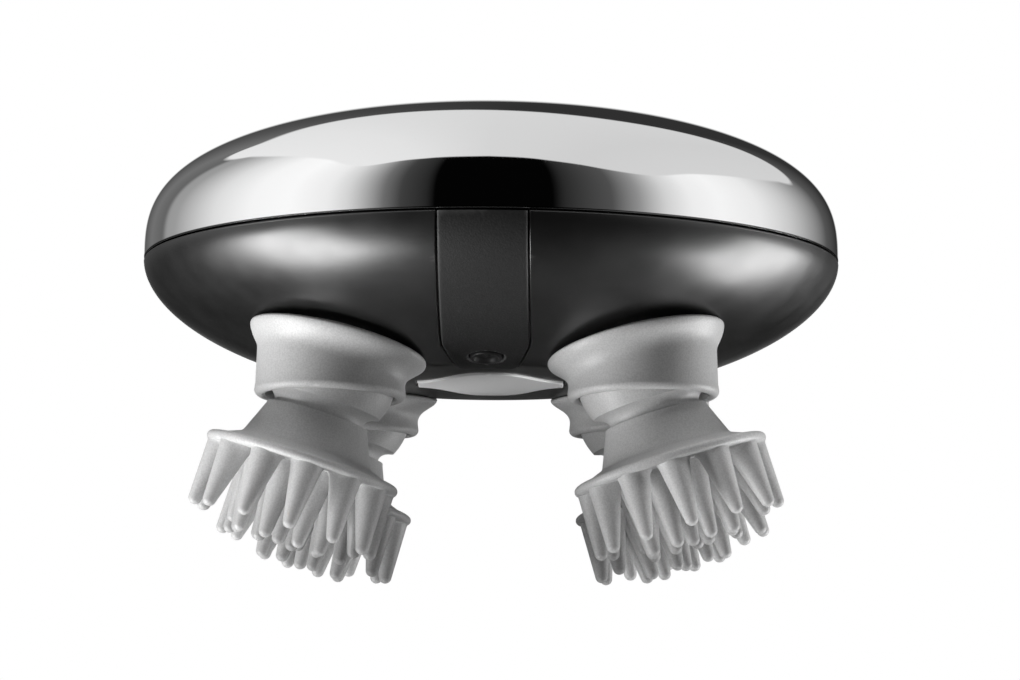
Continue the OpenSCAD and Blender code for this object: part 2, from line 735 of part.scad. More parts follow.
module main_board() color("darkgreen") lifted() {
    translate([-main_board_l / 2, tray_y, main_board_z]) cube([main_board_l, tray_w, board_t]);
    // Controller, driver, capacitor and battery plug
    translate([0, tray_y, main_board_z + board_t - eps]) {
        translate([-main_board_l * 0.3, tray_w * 0.3, 0]) cube([controller_w, controller_w, chip_t]);
        translate([main_board_l * 0.1, tray_w * 0.2, 0]) cube([driver_l, driver_w, chip_t]);
        translate([main_board_l * 0.3, tray_w * 0.45, 0]) cylinder(r = capacitor_r, h = capacitor_h);
        translate([-main_board_l * 0.1, tray_w - plug_w - board_t, 0]) cube([plug_l, plug_w, plug_h]);
    }
}

// Two charging contacts in the rear wall
contact_r = 1.6;
contact_x = 5;
contact_low = 12;
contact_rim = 0.8;
contact_sink = 0.2;
contact_t = 0.6;
module at_contacts()
    lifted() for (x = [-1, 1])
        translate([x * contact_x, contact_y, -contact_low]) rotate([contact_slope - 180, 0, 0]) children();
contact_y = body_r * pow(1 - pow(contact_low / shell_curve_h, shell_edge), 1 / shell_fullness);
contact_slope = atan(shell_z(contact_y + 0.5, 0) - shell_z(contact_y - 0.5, 0));
module charge_contacts() color("gold") at_contacts() union() {
    rod(contact_r, -wall - 1.6, -contact_sink);
    rod(contact_r + contact_rim - running_gap, -contact_sink - contact_t, -contact_sink);
}

// Collar: sleeve with a rolled lip, a flare on the shell and a spherical seat inside
lip_r = lip_t / 2;
lip_bulge = 0.2;
collar_r = collar_d / 2;
bore_r = seat_r - 0.2;
sleeve_top_s = 3;
collar_top_s = seat_land_s + 2.4;
flare_foot_s = 1.8;
flare_steps = 8;
flare_r = root_r + 0.1;
flare_reach = flare_d / 2 - flare_r;
function flare_profile() =
    [for (i = [0:flare_steps])
        let (a = 90 * i / flare_steps, rise = (1 - cos(a) + sin(a)) / 2)
        [flare_d / 2 - flare_reach * cos(a), flare_foot_s + flare_h * rise]];
module collar(h) color("lightgray") difference() {
    union() {
        // Sleeve and rolled lip
        at_pivot(h) leaning(h, collar_lean) {
            rod(collar_r, lip_r - lip_h, sleeve_top_s);
            rotate_extrude()
                translate([collar_r - lip_r + lip_bulge, lip_r - lip_h]) circle(r = lip_r, $fn = 48);
        }
        at_pivot(h) leaning(h, opening_lean) rod(root_r, 0, collar_top_s);
        // Flare, fitted to the curve of the lower shell
        difference() {
            at_pivot(h) leaning(h, opening_lean) rotate_extrude()
                polygon(concat([[0, 0], [flare_r, 0]], flare_profile(),
                    [[flare_d / 2, flare_top_s], [0, flare_top_s]]));
            lifted() shell_body(-touch);
        }
    }
    at_pivot(h) sphere(r = seat_r, $fn = 120);
    at_pivot(h) leaning(h, opening_lean) rod(bore_r, 0, collar_top_s + 1);
}
// Rings that clamp the collars on the shell's inner lands
ring_t = 1.4;
module collar_rings() color("gainsboro")
    for (h = [0:3]) at_pivot(h) leaning(h, opening_lean)
        tube(land_r, root_r + press_gap, seat_land_s + touch, seat_land_s + touch + ring_t);

// Output gear, crank and the clip that keeps the hub on the stub
function mesh_turn(h) =
    let (a = atan2(SIDE_Y[h], SIDE_X[h]))
    a + 180 + (a / (360 / sun_teeth) + 0.5) * 360 / output_teeth;
output_hub_t = 2.5;
module output_gear(h) color("white") at_station(h) difference() {
    translate([0, 0, gear_z]) rotate([0, 0, mesh_turn(h)]) linear_extrude(height = gear_w)
        gear_outline(gear_module, output_teeth, backlash);
    rod(shaft_d / 2 + press_gap, gear_z - 1, gear_z + gear_w + 1);
    difference() {
        rod(output_r - rim_w, gear_z + gear_w / 2 + 1, gear_z + gear_w + 1);
        rod(shaft_d / 2 + output_hub_t, gear_z, gear_z + gear_w + 2);
    }
    for (a = [0:72:288]) rotate([0, 0, a])
        translate([(shaft_d / 2 + output_hub_t + output_r - rim_w) / 2, 0, 0])
        rod((output_r - rim_w - output_hub_t - shaft_d / 2) / 2 - 1.4, gear_z - 1, gear_z + gear_w);
}
crank_top_z = deck_z - 0.2;
crank_neck_z = -frame_h - boss_h - bush_flange - 2 * touch - 0.3;
module crank(h) color("silver") union() {
    at_station(h) {
        rod(shaft_d / 2, -pivot_h, crank_top_z);
        rod(crank_d / 2, -pivot_h, crank_neck_z);
    }
    at_pivot(h) sphere(r = crank_d / 2);
    at_head(h) difference() {
        union() {
            rod(shaft_d / 2, -hub_pocket_s - 1.6, 0);
            rod(shaft_d / 2 + 1.1, -hub_top_s + shoulder_gap, 0);
        }
        tube(shaft_d, groove_r, -groove_s - clip_t - 0.1, -groove_s);
    }
}
module stub_clip(h) color("silver") at_head(h) difference() {
    tube(clip_r, groove_r + 0.03, -groove_s - clip_t - touch, -groove_s - touch);
    translate([0, -groove_r * 0.8, -groove_s - 2]) cube([clip_r * 2, groove_r * 1.6, 4]);
}

// Head hub: a rigid core that runs on the stub and carries the silicone head
module head_hub(h) color("gainsboro") at_head(h) difference() {
    union() {
        rod(hub_neck_r, -hub_end_s, -hub_top_s);
        rod(hub_disc_r, -hub_disc_low_s, -hub_disc_s);
        rod(hub_neck_r + bead, -hub_top_s - bead_low, -hub_top_s - bead_high);
    }
    rod(shaft_d / 2 + running_gap, -hub_end_s - 1, 0);
    rod(hub_pocket_r, -hub_end_s - 1, -hub_pocket_s);
}

// Neck boot: a sleeve on the hub's neck that flares into a spherical skirt round the pivot
skirt_steps = 10;
neck_fillet = 6;
function on_skirt(r, a) = [r * sin(a), -r * cos(a)];
function boot_outside() =
    let (low = on_skirt(skirt_r, skirt_low), start_z = 0.2 - cup_top_s)
    concat([[boot_r, -boot_foot_s]],
        [for (i = [0:neck_fillet])
            let (t = i / neck_fillet)
            [boot_r + (low[0] - boot_r) * t * t, start_z + (low[1] - start_z) * t * (3 - t) / 2]],
        [for (i = [1:skirt_steps])
            on_skirt(skirt_r, skirt_low + (skirt_top - skirt_low) * i / skirt_steps)]);
module neck_boot(h) color("lightgray") at_head(h) difference() {
    rotate_extrude()
        polygon(concat([[0, -boot_foot_s]], boot_outside(), [[0, on_skirt(skirt_r, skirt_top)[1]]]));
    rod(hub_neck_r + touch, -hub_end_s, 3);
    rod(hub_neck_r + bead + touch, -hub_top_s - bead_low - touch, 3);
    intersection() {
        sphere(r = skirt_r - boot_t);
        rod(skirt_r, -hub_top_s - bead_high, skirt_r);
    }
}

// Massage head: cup, flange and two rings of tapered fingers round a middle one
module finger(depth, lean) rotate([0, -lean, 0]) {
    length = (depth - flange_s) / cos(lean);
    translate([0, 0, -length])
        cylinder(r1 = finger_tip_d / 2, r2 = finger_base_d / 2, h = length, $fn = 48);
    translate([0, 0, -length]) sphere(r = finger_tip_d / 2, $fn = 32);
}
function cup_outline() = [
    [0, -flange_s - flange_t / 2],
    [0, -cup_top_s],
    [cup_top_d / 2, -cup_top_s],
    [cup_top_d / 2 + 0.35, -cup_top_s - 0.6],
    [cup_foot_d / 2 - 0.5, -cup_foot_s + 0.9],
    [cup_foot_d / 2 + 0.6, -cup_foot_s],
    [flange_d / 2 - flange_t, -flange_s + flange_t / 2]];
function rim_outline() =
    [for (a = [75:-30:-75])
        [flange_d / 2 - flange_t / 2 * (1 - cos(a)), -flange_s + flange_t / 2 * sin(a)]];
module massage_head(h) color("lightgray") at_head(h) difference() {
    union() {
        rotate_extrude() polygon(concat(cup_outline(), rim_outline(),
            [[flange_d / 2 - flange_t, -flange_s - flange_t / 2]]));
        rotate([0, 0, HEAD_TURN[h]]) translate([0, 0, -flange_s]) {
            for (k = [0:outer_fingers - 1]) rotate([0, 0, 360 * k / outer_fingers])
                translate([outer_base_r, 0, 0]) finger(finger_s, splay);
            for (k = [0:inner_fingers - 1]) rotate([0, 0, 360 * (k + 0.5) / inner_fingers])
                translate([inner_ring_r, 0, 0]) finger(inner_s, 0);
            finger(inner_s, 0);
        }
    }
    // Room for the neck boot and the hub
    rod(boot_r + touch, -boot_foot_s - touch, 0);
    rod(hub_neck_r + touch, -hub_end_s - touch, 0);
    rod(hub_disc_r + touch, -hub_disc_low_s - touch, -hub_disc_s + touch);
}

top_cover();
lower_shell();
rim_gasket();
bottom_plate();
front_panel();
power_button();
switch_plunger();
tact_switch();
switch_board();
gear_frame();
gear_cover();
case_screws();
drive_axle();
drive_gear();
worm();
motor_shaft();
motor();
motor_clamp();
clamp_screws();
worm_bearing();
battery_tray();
battery();
main_board();
charge_contacts();
lower_bushes();
upper_bushes();
collar_rings();
collar(0);  // collar_front_left
collar(1);  // collar_front_right
collar(2);  // collar_rear_left
collar(3);  // collar_rear_right
output_gear(0);  // output_gear_front_left
output_gear(1);  // output_gear_front_right
output_gear(2);  // output_gear_rear_left
output_gear(3);  // output_gear_rear_right
crank(0);  // crank_front_left
crank(1);  // crank_front_right
crank(2);  // crank_rear_left
crank(3);  // crank_rear_right
stub_clip(0);  // stub_clip_front_left
stub_clip(1);  // stub_clip_front_right
stub_clip(2);  // stub_clip_rear_left
stub_clip(3);  // stub_clip_rear_right
head_hub(0);  // head_hub_front_left
head_hub(1);  // head_hub_front_right
head_hub(2);  // head_hub_rear_left
head_hub(3);  // head_hub_rear_right
neck_boot(0);  // neck_boot_front_left
neck_boot(1);  // neck_boot_front_right
neck_boot(2);  // neck_boot_rear_left
neck_boot(3);  // neck_boot_rear_right
massage_head(0);  // massage_head_front_left
massage_head(1);  // massage_head_front_right
massage_head(2);  // massage_head_rear_left
massage_head(3);  // massage_head_rear_right
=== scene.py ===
import json
import math

import bmesh
import bpy
import numpy as np
from mathutils import Matrix, Vector


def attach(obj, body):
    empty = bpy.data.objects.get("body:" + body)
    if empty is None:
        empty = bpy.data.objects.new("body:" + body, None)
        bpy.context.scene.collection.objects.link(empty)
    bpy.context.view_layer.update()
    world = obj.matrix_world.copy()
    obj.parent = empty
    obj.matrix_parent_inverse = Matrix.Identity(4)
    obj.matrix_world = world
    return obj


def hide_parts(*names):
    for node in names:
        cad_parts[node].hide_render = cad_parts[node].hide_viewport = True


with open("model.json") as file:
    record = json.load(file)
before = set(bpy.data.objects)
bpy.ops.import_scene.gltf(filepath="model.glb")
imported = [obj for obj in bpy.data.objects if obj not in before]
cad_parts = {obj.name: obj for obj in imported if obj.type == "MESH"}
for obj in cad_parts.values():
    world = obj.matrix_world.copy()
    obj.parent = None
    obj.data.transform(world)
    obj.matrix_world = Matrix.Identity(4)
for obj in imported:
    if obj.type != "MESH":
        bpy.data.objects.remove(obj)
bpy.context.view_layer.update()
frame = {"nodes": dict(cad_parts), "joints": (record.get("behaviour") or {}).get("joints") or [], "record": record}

# ---------------------------------------------------------------- sizes
# In millimetres and degrees, as in the CAD source. Heights on the body count from the seam
# between dome and lower shell, those on a collar or head along its axis from the head's pivot.
JOINTS = {j["name"]: j for j in frame["joints"]}
HEADS = ["front_left", "front_right", "rear_left", "rear_right"]
SIDE_X = {"front_left": -1, "front_right": 1, "rear_left": -1, "rear_right": 1}
SIDE_Y = {"front_left": -1, "front_right": -1, "rear_left": 1, "rear_right": 1}
HEAD_TURN = {"front_left": 9.0, "front_right": 0.0, "rear_left": 0.0, "rear_right": 9.0}

# Places that the frame gives: the seam's height, and the pivots' depth, distance and lean
SEAM_Z = 1000 * JOINTS["drive_turn"]["pos_m"][2]
PIVOT_DROP = SEAM_Z - 1000 * JOINTS["head_turn_front_right"]["pos_m"][2]
STATION = 1000 * JOINTS["head_turn_front_right"]["pos_m"][0]
TILT = math.degrees(math.asin(abs(JOINTS["head_turn_front_right"]["axis"][0])))

# Body: each half is a superellipse of a height and two powers
BODY_R = 69.4
DOME_H, DOME_FULL, DOME_EDGE = 29.5, 2.08, 2.95
SHELL_H, SHELL_FULL, SHELL_EDGE = 26.1, 2.05, 1.87
BOTTOM_H, BOTTOM_SOFT = 23.7, 0.25
WALL, SEAM = 2.2, 0.3
NEAR_RIM = BODY_R - 1e-4
DOME_ROUND, DOME_SPLIT = 0.35, 0.80
SHELL_ROUND, SHELL_TOP = 0.32, 0.34
TONGUE_R, TONGUE_BORE_R, TONGUE_TOP, TONGUE_FOOT = 67.0, 65.6, 2.5, -3.0
DOME_SEGMENTS, SHELL_SEGMENTS = 320, 360

# Front strip, on the front meridian
PANEL_HALF, PANEL_END_HALF = 8.35, 5.8
PANEL_TAPER_R, PANEL_TAPER_END_R, PANEL_END_R = 39.5, 26.7, 25.2
PANEL_RAISE, PANEL_T, PANEL_GAP = 0.35, 1.3, 0.35
PANEL_TOP, PANEL_ROUND, PANEL_CORNER, PANEL_SOFT = 0.18, 0.4, 1.5, 0.02
STRAIGHT_R, STRAIGHT_SPAN = 30, 32
STRIP_COLS, STRIP_ROWS, CORNER_STEPS = 28, 84, 8

# Power button, with the hole for it
BUTTON_R, BUTTON_AT, BUTTON_GAP = 3.1, 34.0, 0.25
BUTTON_PROUD, BUTTON_FLANGE_R, BUTTON_FLANGE_T = 0.25, 4.0, 0.6
STEM_R, STEM_END = 1.2, -3.6
HOLE_R, HOLE_MOUTH_R, HOLE_MOUTH_H = 3.4, 4.1, 0.4

# Underside plate
PLATE_HALF_L, PLATE_HALF_W, PLATE_TAIL_HALF, PLATE_MID_HALF = 14.5, 16.5, 3.0, 9.5
PLATE_T, PLATE_POCKET, PLATE_ROUND, TOUCH = 1.4, 1.0, 0.35, 0.05
PLATE_COLS, PLATE_ROWS = 72, 14

# Charging contacts
CONTACT_R, CONTACT_X, CONTACT_LOW = 1.6, 5.0, 12.0
CONTACT_GAP, RECESS_R, RECESS_MOUTH_R, RECESS_H = 0.1, 0.85, 1.0, 0.85

# Collars: bore and seat inside, lip and sleeve below, flare towards the shell
OPENING_LEAN, OPENING_R, ROOT_R, BORE_R, COLLAR_TOP = 15.0, 14.3, 14.2, 13.1, 12.4
COLLAR_LEAN, COLLAR_R, SEAT_R, LIP_R, LIP_H, LIP_BULGE = 2.5, 14.4, 13.3, 1.2, 4.7, 0.2
RIM_R, RIM_S, RIM_LEAN_X, RIM_LEAN_Y, RIM_PROUD = 17.4, 6.0, 12.5, 5.4, 0.55
BORE_STEP, BORE_FOOT, SEAT_HIGH, SEAT_LOW = 7.5, 3.4, 1.8, -4.0
FLARE_H, FLARE_FOOT, FLARE_STEPS = 5.4, -1.9, 14
RIM_ROUND, RIM_STEPS, RIM_TUCK, RIM_TUCK_H = 0.5, 6, 1.1, 0.56
COLLAR_SEGMENTS = 160

# Heads: cup, flange, fingers, and the neck boot with its skirt
CUP_TOP, CUP_TOP_R, CUP_FOOT, CUP_FOOT_R, CUP_ROUND = 8.3, 10.05, 15.6, 13.05, 0.16
FLANGE, FLANGE_R, FLANGE_T, FINGER_RING_R = 18.1, 19.15, 1.9, 15.4
FINGER_L, INNER_FINGER_L, FINGER_BASE_R, FINGER_TIP_R = 13.8, 16.2, 3.3, 1.3
OUTER_FINGERS, INNER_FINGERS, INNER_RING_R, SPLAY = 12, 8, 8.6, 10.0
FINGER_SUNK, FILLET, FILLET_TOP, FILLET_H = 0.35, 0.32, 0.95, 1.1
SKIRT_R, SKIRT_LOW, SKIRT_HIGH = 12.9, -26, 4
BOOT_R, BOOT_BORE_R, BOOT_T, BOOT_FOOT = 8.85, 7.8, 1.1, 12.3
HEAD_SEGMENTS, FINGER_SEGMENTS = 144, 36

# The hollow in the cup for the hub and the boot's foot, as points of (radius, height)
CUP_HOLLOW = [(0, -16.95), (7.75, -16.95), (7.75, -16.3), (10.05, -16.3), (10.05, -13.15),
              (7.85, -13.15), (7.85, -12.35), (8.9, -12.35)]


def dome_z(r, t=0.0):
    """Height of the dome at a radius, t inside its outside."""
    q = np.clip(1 - (np.asarray(r, float) / (BODY_R - t)) ** DOME_FULL, 0, None)
    return (DOME_H - t) * q ** (1 / DOME_EDGE)


def dome_r(z, t=0.0):
    """Radius of the dome at a height."""
    q = np.clip(1 - (np.asarray(z, float) / (DOME_H - t)) ** DOME_EDGE, 0, None)
    return (BODY_R - t) * q ** (1 / DOME_FULL)


def shell_curve_z(r, t=0.0):
    """Height of the lower shell's curve at a radius, before its flat bottom."""
    q = np.clip(1 - (np.asarray(r, float) / (BODY_R - t)) ** SHELL_FULL, 0, None)
    return -(SHELL_H - t) * q ** (1 / SHELL_EDGE)


def shell_z(r):
    """Height of the lower shell's outside at a radius, with its flat bottom blended in."""
    d = shell_curve_z(r) + BOTTOM_H
    return -BOTTOM_H + 0.5 * (d + np.sqrt(d * d + BOTTOM_SOFT * BOTTOM_SOFT))


def shell_r(z, t=0.0):
    """Radius of the lower shell at a height."""
    depth = np.clip(-np.asarray(z, float), 0, None)
    q = np.clip(1 - (depth / (SHELL_H - t)) ** SHELL_EDGE, 0, None)
    return (BODY_R - t) * q ** (1 / SHELL_FULL)


# ---------------------------------------------------------------- mesh helpers
def moved_to(x, y, z):
    return Matrix.Translation(Vector((x, y, z)))


def rot_x(a):
    return Matrix.Rotation(math.radians(a), 4, "X")


def rot_y(a):
    return Matrix.Rotation(math.radians(a), 4, "Y")


def rot_z(a):
    return Matrix.Rotation(math.radians(a), 4, "Z")


def pivot(h):
    """Place of a head's pivot, upright."""
    return moved_to(SIDE_X[h] * STATION, SIDE_Y[h] * STATION, SEAM_Z - PIVOT_DROP)


def outward(h):
    """Turn that brings +X to the direction in which a station lies."""
    return rot_z(math.degrees(math.atan2(SIDE_Y[h], SIDE_X[h])))


def head_place(h):
    """Place of a head at rest, leaning with its stub."""
    return pivot(h) @ rot_y(-SIDE_X[h] * TILT)


SEAM_PLACE = moved_to(0, 0, SEAM_Z)


def piece(name, verts, faces, place=None, mats=(), smooth=True, sharp=None):
    """A mesh object at the origin, from vertices in millimetres."""
    me = bpy.data.meshes.new(name)
    me.from_pydata([tuple(v) for v in verts], [], [tuple(f) for f in faces])
    me.transform(Matrix.Scale(0.001, 4) @ (place if place is not None else Matrix.Identity(4)))
    for material in mats:
        me.materials.append(material)
    bm = bmesh.new()
    bm.from_mesh(me)
    bmesh.ops.remove_doubles(bm, verts=bm.verts, dist=1e-8)
    bmesh.ops.recalc_face_normals(bm, faces=bm.faces)
    bm.to_mesh(me)
    bm.free()
    if smooth:
        me.shade_smooth()
    if sharp is not None:
        me.set_sharp_from_angle(angle=math.radians(sharp))
    ob = bpy.data.objects.new(name, me)
    bpy.context.scene.collection.objects.link(ob)
    return ob


def lathe(profile, seg, closed=True):
    """Vertices and faces of a profile of (r, z) turned round Z."""
    verts, rings = [], []
    for r, z in profile:
        base = len(verts)
        if r < 1e-9:
            rings.append([base] * seg)
            verts.append((0, 0, z))
        else:
            rings.append(list(range(base, base + seg)))
            turns = [2 * math.pi * k / seg for k in range(seg)]
            verts += [(r * math.cos(a), r * math.sin(a), z) for a in turns]
    pairs = list(zip(rings, rings[1:]))
    if closed:
        pairs.append((rings[-1], rings[0]))
    faces = []
    for a, b in pairs:
        for k in range(seg):
            n = (k + 1) % seg
            face = list(dict.fromkeys((a[k], a[n], b[n], b[k])))
            if len(face) > 2:
                faces.append(face)
    return verts, faces


def arc(cx, cz, r, a0, a1, n):
    """Points of an arc in the (r, z) plane, angles in degrees."""
    turns = [math.radians(a0 + (a1 - a0) * i / n) for i in range(n + 1)]
    return [(cx + r * math.cos(a), cz + r * math.sin(a)) for a in turns]


def join(name, parts, **kw):
    """One piece from several (verts, faces) lists."""
    verts, faces = [], []
    for v, f in parts:
        base = len(verts)
        verts += [tuple(p) for p in v]
        faces += [tuple(i + base for i in q) for q in f]
    return piece(name, verts, faces, **kw)


def moved(mesh, place):
    """A (verts, faces) list brought to a place."""
    return [tuple(place @ Vector(v)) for v in mesh[0]], mesh[1]


def stacked(name, grids):
    """A closed solid from grids of points over one another; the first and last are filled in."""
    m, n = len(grids[0]), len(grids[0][0])
    loop = [(j, 0) for j in range(m)] + [(m - 1, i) for i in range(1, n)]
    loop += [(j, n - 1) for j in range(m - 2, -1, -1)] + [(0, i) for i in range(n - 2, 0, -1)]
    verts, faces, rings = [], [], []
    for k, grid in enumerate(grids):
        base = len(verts)
        if k in (0, len(grids) - 1):
            verts += [p for row in grid for p in row]
            corners = [base + j * n + i for j in range(m - 1) for i in range(n - 1)]
            faces += [(c, c + 1, c + n + 1, c + n) for c in corners]
            rings.append([base + j * n + i for j, i in loop])
        else:
            verts += [grid[j][i] for j, i in loop]
            rings.append(list(range(base, base + len(loop))))
    for a, b in zip(rings, rings[1:]):
        faces += [(a[q], a[(q + 1) % len(a)], b[(q + 1) % len(a)], b[q]) for q in range(len(a))]
    return piece(name, verts, faces, place=SEAM_PLACE, sharp=35)


def rounded(r, height, sign, n=5):
    """(growth, height) steps of a quarter round of radius r that ends at the given height."""
    turns = [math.pi / 2 * k / n for k in range(n + 1)]
    return [(-r * (1 - math.cos(a)), height + sign * r * (1 - math.sin(a))) for a in turns]


def rod_cutter(r0, r1, z0, z1, place):
    """A cutter along +Z of a place, from radius r0 at z0 to radius r1 at z1."""
    mesh = lathe([(0, z0), (r0, z0), (r1, z1), (0, z1)], 72, closed=False)
    return piece("cutter", *mesh, place=place)


def cut(ob, cutters):
    """Takes the cutters out of a piece and removes them."""
    for cutter in cutters:
        m = ob.modifiers.new("cut", "BOOLEAN")
        m.operation = "DIFFERENCE"
        m.solver = "EXACT"
        m.object = cutter
    graph = bpy.context.evaluated_depsgraph_get()
    done = bpy.data.meshes.new_from_object(ob.evaluated_get(graph))
    ob.modifiers.clear()
    ob.data = done
    for cutter in cutters:
        bpy.data.objects.remove(cutter)


# ---------------------------------------------------------------- materials
class Nodes:
    """A small builder for one material's node tree."""

    def __init__(self, name):
        self.mat = bpy.data.materials.new(name)
        self.mat.use_nodes = True
        self.tree = self.mat.node_tree
        self.shader = self.tree.nodes["Principled BSDF"]
        self.coord = self.tree.nodes.new("ShaderNodeTexCoord").outputs["Object"]

    def link(self, a, b):
        self.tree.links.new(a, b)

    def noise(self, scale, detail):
        n = self.tree.nodes.new("ShaderNodeTexNoise")
        n.inputs["Scale"].default_value = scale
        n.inputs["Detail"].default_value = detail
        self.link(self.coord, n.inputs["Vector"])
        return n.outputs["Fac"]

    def voronoi(self, scale):
        n = self.tree.nodes.new("ShaderNodeTexVoronoi")
        n.inputs["Scale"].default_value = scale
        self.link(self.coord, n.inputs["Vector"])
        return n.outputs["Distance"]

    def remap(self, value, a0, a1, b0, b1):
        n = self.tree.nodes.new("ShaderNodeMapRange")
        for key, v in zip(("From Min", "From Max", "To Min", "To Max"), (a0, a1, b0, b1)):
            n.inputs[key].default_value = v
        self.link(value, n.inputs["Value"])
        return n.outputs["Result"]

    def mix(self, fac, a, b):
        n = self.tree.nodes.new("ShaderNodeMix")
        n.data_type = "RGBA"
        self.link(fac, n.inputs["Factor"])
        for key, v in (("A", a), ("B", b)):
            s = [i for i in n.inputs if i.name == key and i.type == "RGBA"][0]
            if isinstance(v, (tuple, list)):
                s.default_value = (*v, 1)
            else:
                self.link(v, s)
        return [o for o in n.outputs if o.type == "RGBA"][0]

    def edges(self, low=0.52, high=0.62):
        """1 on convex edges, from the surface's pointiness: worn edges, and on the silicone a painted rim
        highlight.
        """
        g = self.tree.nodes.new("ShaderNodeNewGeometry")
        return self.remap(g.outputs["Pointiness"], low, high, 0, 1)

    def bump(self, *layers):
        """Layers of (height, strength, distance in metres), one over another."""
        last = None
        for height, strength, dist in layers:
            n = self.tree.nodes.new("ShaderNodeBump")
            n.inputs["Strength"].default_value = strength
            n.inputs["Distance"].default_value = dist
            self.link(height, n.inputs["Height"])
            if last is not None:
                self.link(last, n.inputs["Normal"])
            last = n.outputs["Normal"]
        self.link(last, self.shader.inputs["Normal"])

    def set(self, **kw):
        for k, v in kw.items():
            self.shader.inputs[k.replace("_", " ")].default_value = v

    def colour(self, out):
        self.link(out, self.shader.inputs["Base Color"])

    def rough(self, out):
        self.link(out, self.shader.inputs["Roughness"])


def grey(v):
    """A neutral linear colour from an sRGB level of 0 to 255."""
    v = v / 255
    g = v / 12.92 if v <= 0.04045 else ((v + 0.055) / 1.055) ** 2.4
    return (g, g, g)


def plain(name, colour, rough, metal=0.0, vary=0.12, scale=400.0, coat=0.0):
    """A moulded or machined finish: mottled colour and gloss, a fine grain and paler edges."""
    n = Nodes(name)
    n.set(Metallic=metal, Coat_Weight=coat)
    cloud = n.noise(60, 4)
    grain = n.noise(scale, 3)
    dark = tuple(c * (1 - vary) for c in colour)
    light = tuple(min(1, c * (1 + vary)) for c in colour)
    worn = tuple(min(1, c * 1.25 + 0.02) for c in colour)
    n.colour(n.mix(n.edges(), n.mix(cloud, dark, light), worn))
    n.rough(n.remap(grain, 0.3, 0.7, rough - 0.07, rough + 0.07))
    n.bump((grain, 0.5, 0.00002))
    return n.mat


def chrome_material():
    n = Nodes("chrome_plate")
    n.set(Metallic=1.0)
    cloud = n.noise(22, 3)
    fine = n.noise(900, 2)
    n.colour(n.mix(cloud, (0.93, 0.932, 0.935), (0.965, 0.965, 0.965)))
    n.rough(n.remap(fine, 0.3, 0.7, 0.025, 0.05))
    n.bump((n.noise(14, 2), 0.05, 0.0004))
    return n.mat


def black_material():
    n = Nodes("black_satin")
    n.set(Specular_IOR_Level=1.0)
    cloud = n.noise(45, 4)
    grain = n.noise(2600, 2)
    base = n.mix(cloud, grey(15), grey(20))
    n.colour(n.mix(n.edges(0.52, 0.6), base, grey(60)))
    n.rough(n.remap(n.noise(120, 4), 0.3, 0.7, 0.30, 0.37))
    n.bump((grain, 0.25, 0.00002))
    return n.mat


def panel_material():
    n = Nodes("panel_grain")
    n.set(Specular_IOR_Level=0.4)
    grain = n.voronoi(2600)
    fine = n.noise(5200, 2)
    base = n.mix(n.noise(1500, 2), grey(22), grey(38))
    n.colour(n.mix(n.edges(0.51, 0.6), base, grey(95)))
    n.rough(n.remap(fine, 0.3, 0.7, 0.5, 0.68))
    n.bump((grain, 0.45, 0.00006), (fine, 0.3, 0.00002))
    return n.mat


def silicone_material():
    n = Nodes("silicone_grey")
    n.set(Specular_IOR_Level=0.45, Subsurface_Weight=0.12, Subsurface_Scale=0.0015,
          Subsurface_Radius=(1.0, 0.95, 0.9))
    cloud = n.noise(70, 5)
    grain = n.noise(1700, 3)
    speck = n.remap(n.noise(3200, 2), 0.35, 0.65, 0, 1)
    base = n.mix(cloud, n.mix(speck, grey(194), grey(209)), n.mix(speck, grey(200), grey(215)))
    # Painted highlight: convex edges are painted paler, grey(230), as the rim highlight of the silicone's
    # translucent edges.
    n.colour(n.mix(n.edges(0.56, 0.7), base, grey(230)))
    n.rough(n.remap(grain, 0.3, 0.7, 0.36, 0.5))
    n.bump((grain, 0.35, 0.00003), (n.noise(260, 3), 0.15, 0.00008))
    return n.mat


MATS = {
    "chrome_shell": chrome_material(),
    "black_shell": black_material(),
    "panel": panel_material(),
    "button": plain("button_black", grey(40), 0.42, scale=2000),
    "grey_plate": plain("plate_grey", grey(228), 0.35, scale=1500, vary=0.03),
    "silicone": silicone_material(),
    "seal": plain("seal_rubber", grey(34), 0.7, scale=900),
    "inner_plastic": plain("inner_plastic", grey(205), 0.5, scale=700, vary=0.05),
    "gear_plastic": plain("gear_plastic", grey(232), 0.4, scale=900, vary=0.04),
    "steel": plain("ground_steel", (0.56, 0.56, 0.57), 0.28, metal=1.0, scale=1400, vary=0.08),
    "motor_can": plain("motor_can", (0.5, 0.5, 0.51), 0.33, metal=1.0, scale=600, vary=0.1),
    "bush_bronze": plain("bush_bronze", (0.58, 0.42, 0.2), 0.38, metal=1.0, scale=1500),
    "contact_gold": plain("contact_gold", (0.85, 0.62, 0.25), 0.25, metal=1.0, scale=1200),
    "circuit": plain("circuit_green", (0.03, 0.16, 0.07), 0.4, scale=500, coat=0.3),
    "switch_plastic": plain("switch_plastic", grey(48), 0.5, scale=900),
    "cell": plain("cell_foil", (0.3, 0.36, 0.48), 0.35, metal=0.6, scale=120, vary=0.15),
}
SLOT_OF = {s["node"]: s["material_slot"] for s in frame["record"]["subparts"]}
for name, ob in frame["nodes"].items():
    for slot in ob.material_slots:
        slot.link = "OBJECT"
        slot.material = MATS[SLOT_OF[name]]

# ---------------------------------------------------------------- camera
# Fitted to the photograph: a focal length and image width in pixels, and the eye's place
# behind, beside and under the seam's height
WIDTH_PX, FOCAL_PX, SENSOR = 1020, 4200.0, 36
YAW, PITCH, ROLL = math.radians(-1.15), math.radians(7.71), math.radians(0.33)
EYE_BACK, EYE_SIDE, EYE_LOW = 832.4, 3.85, 127.6

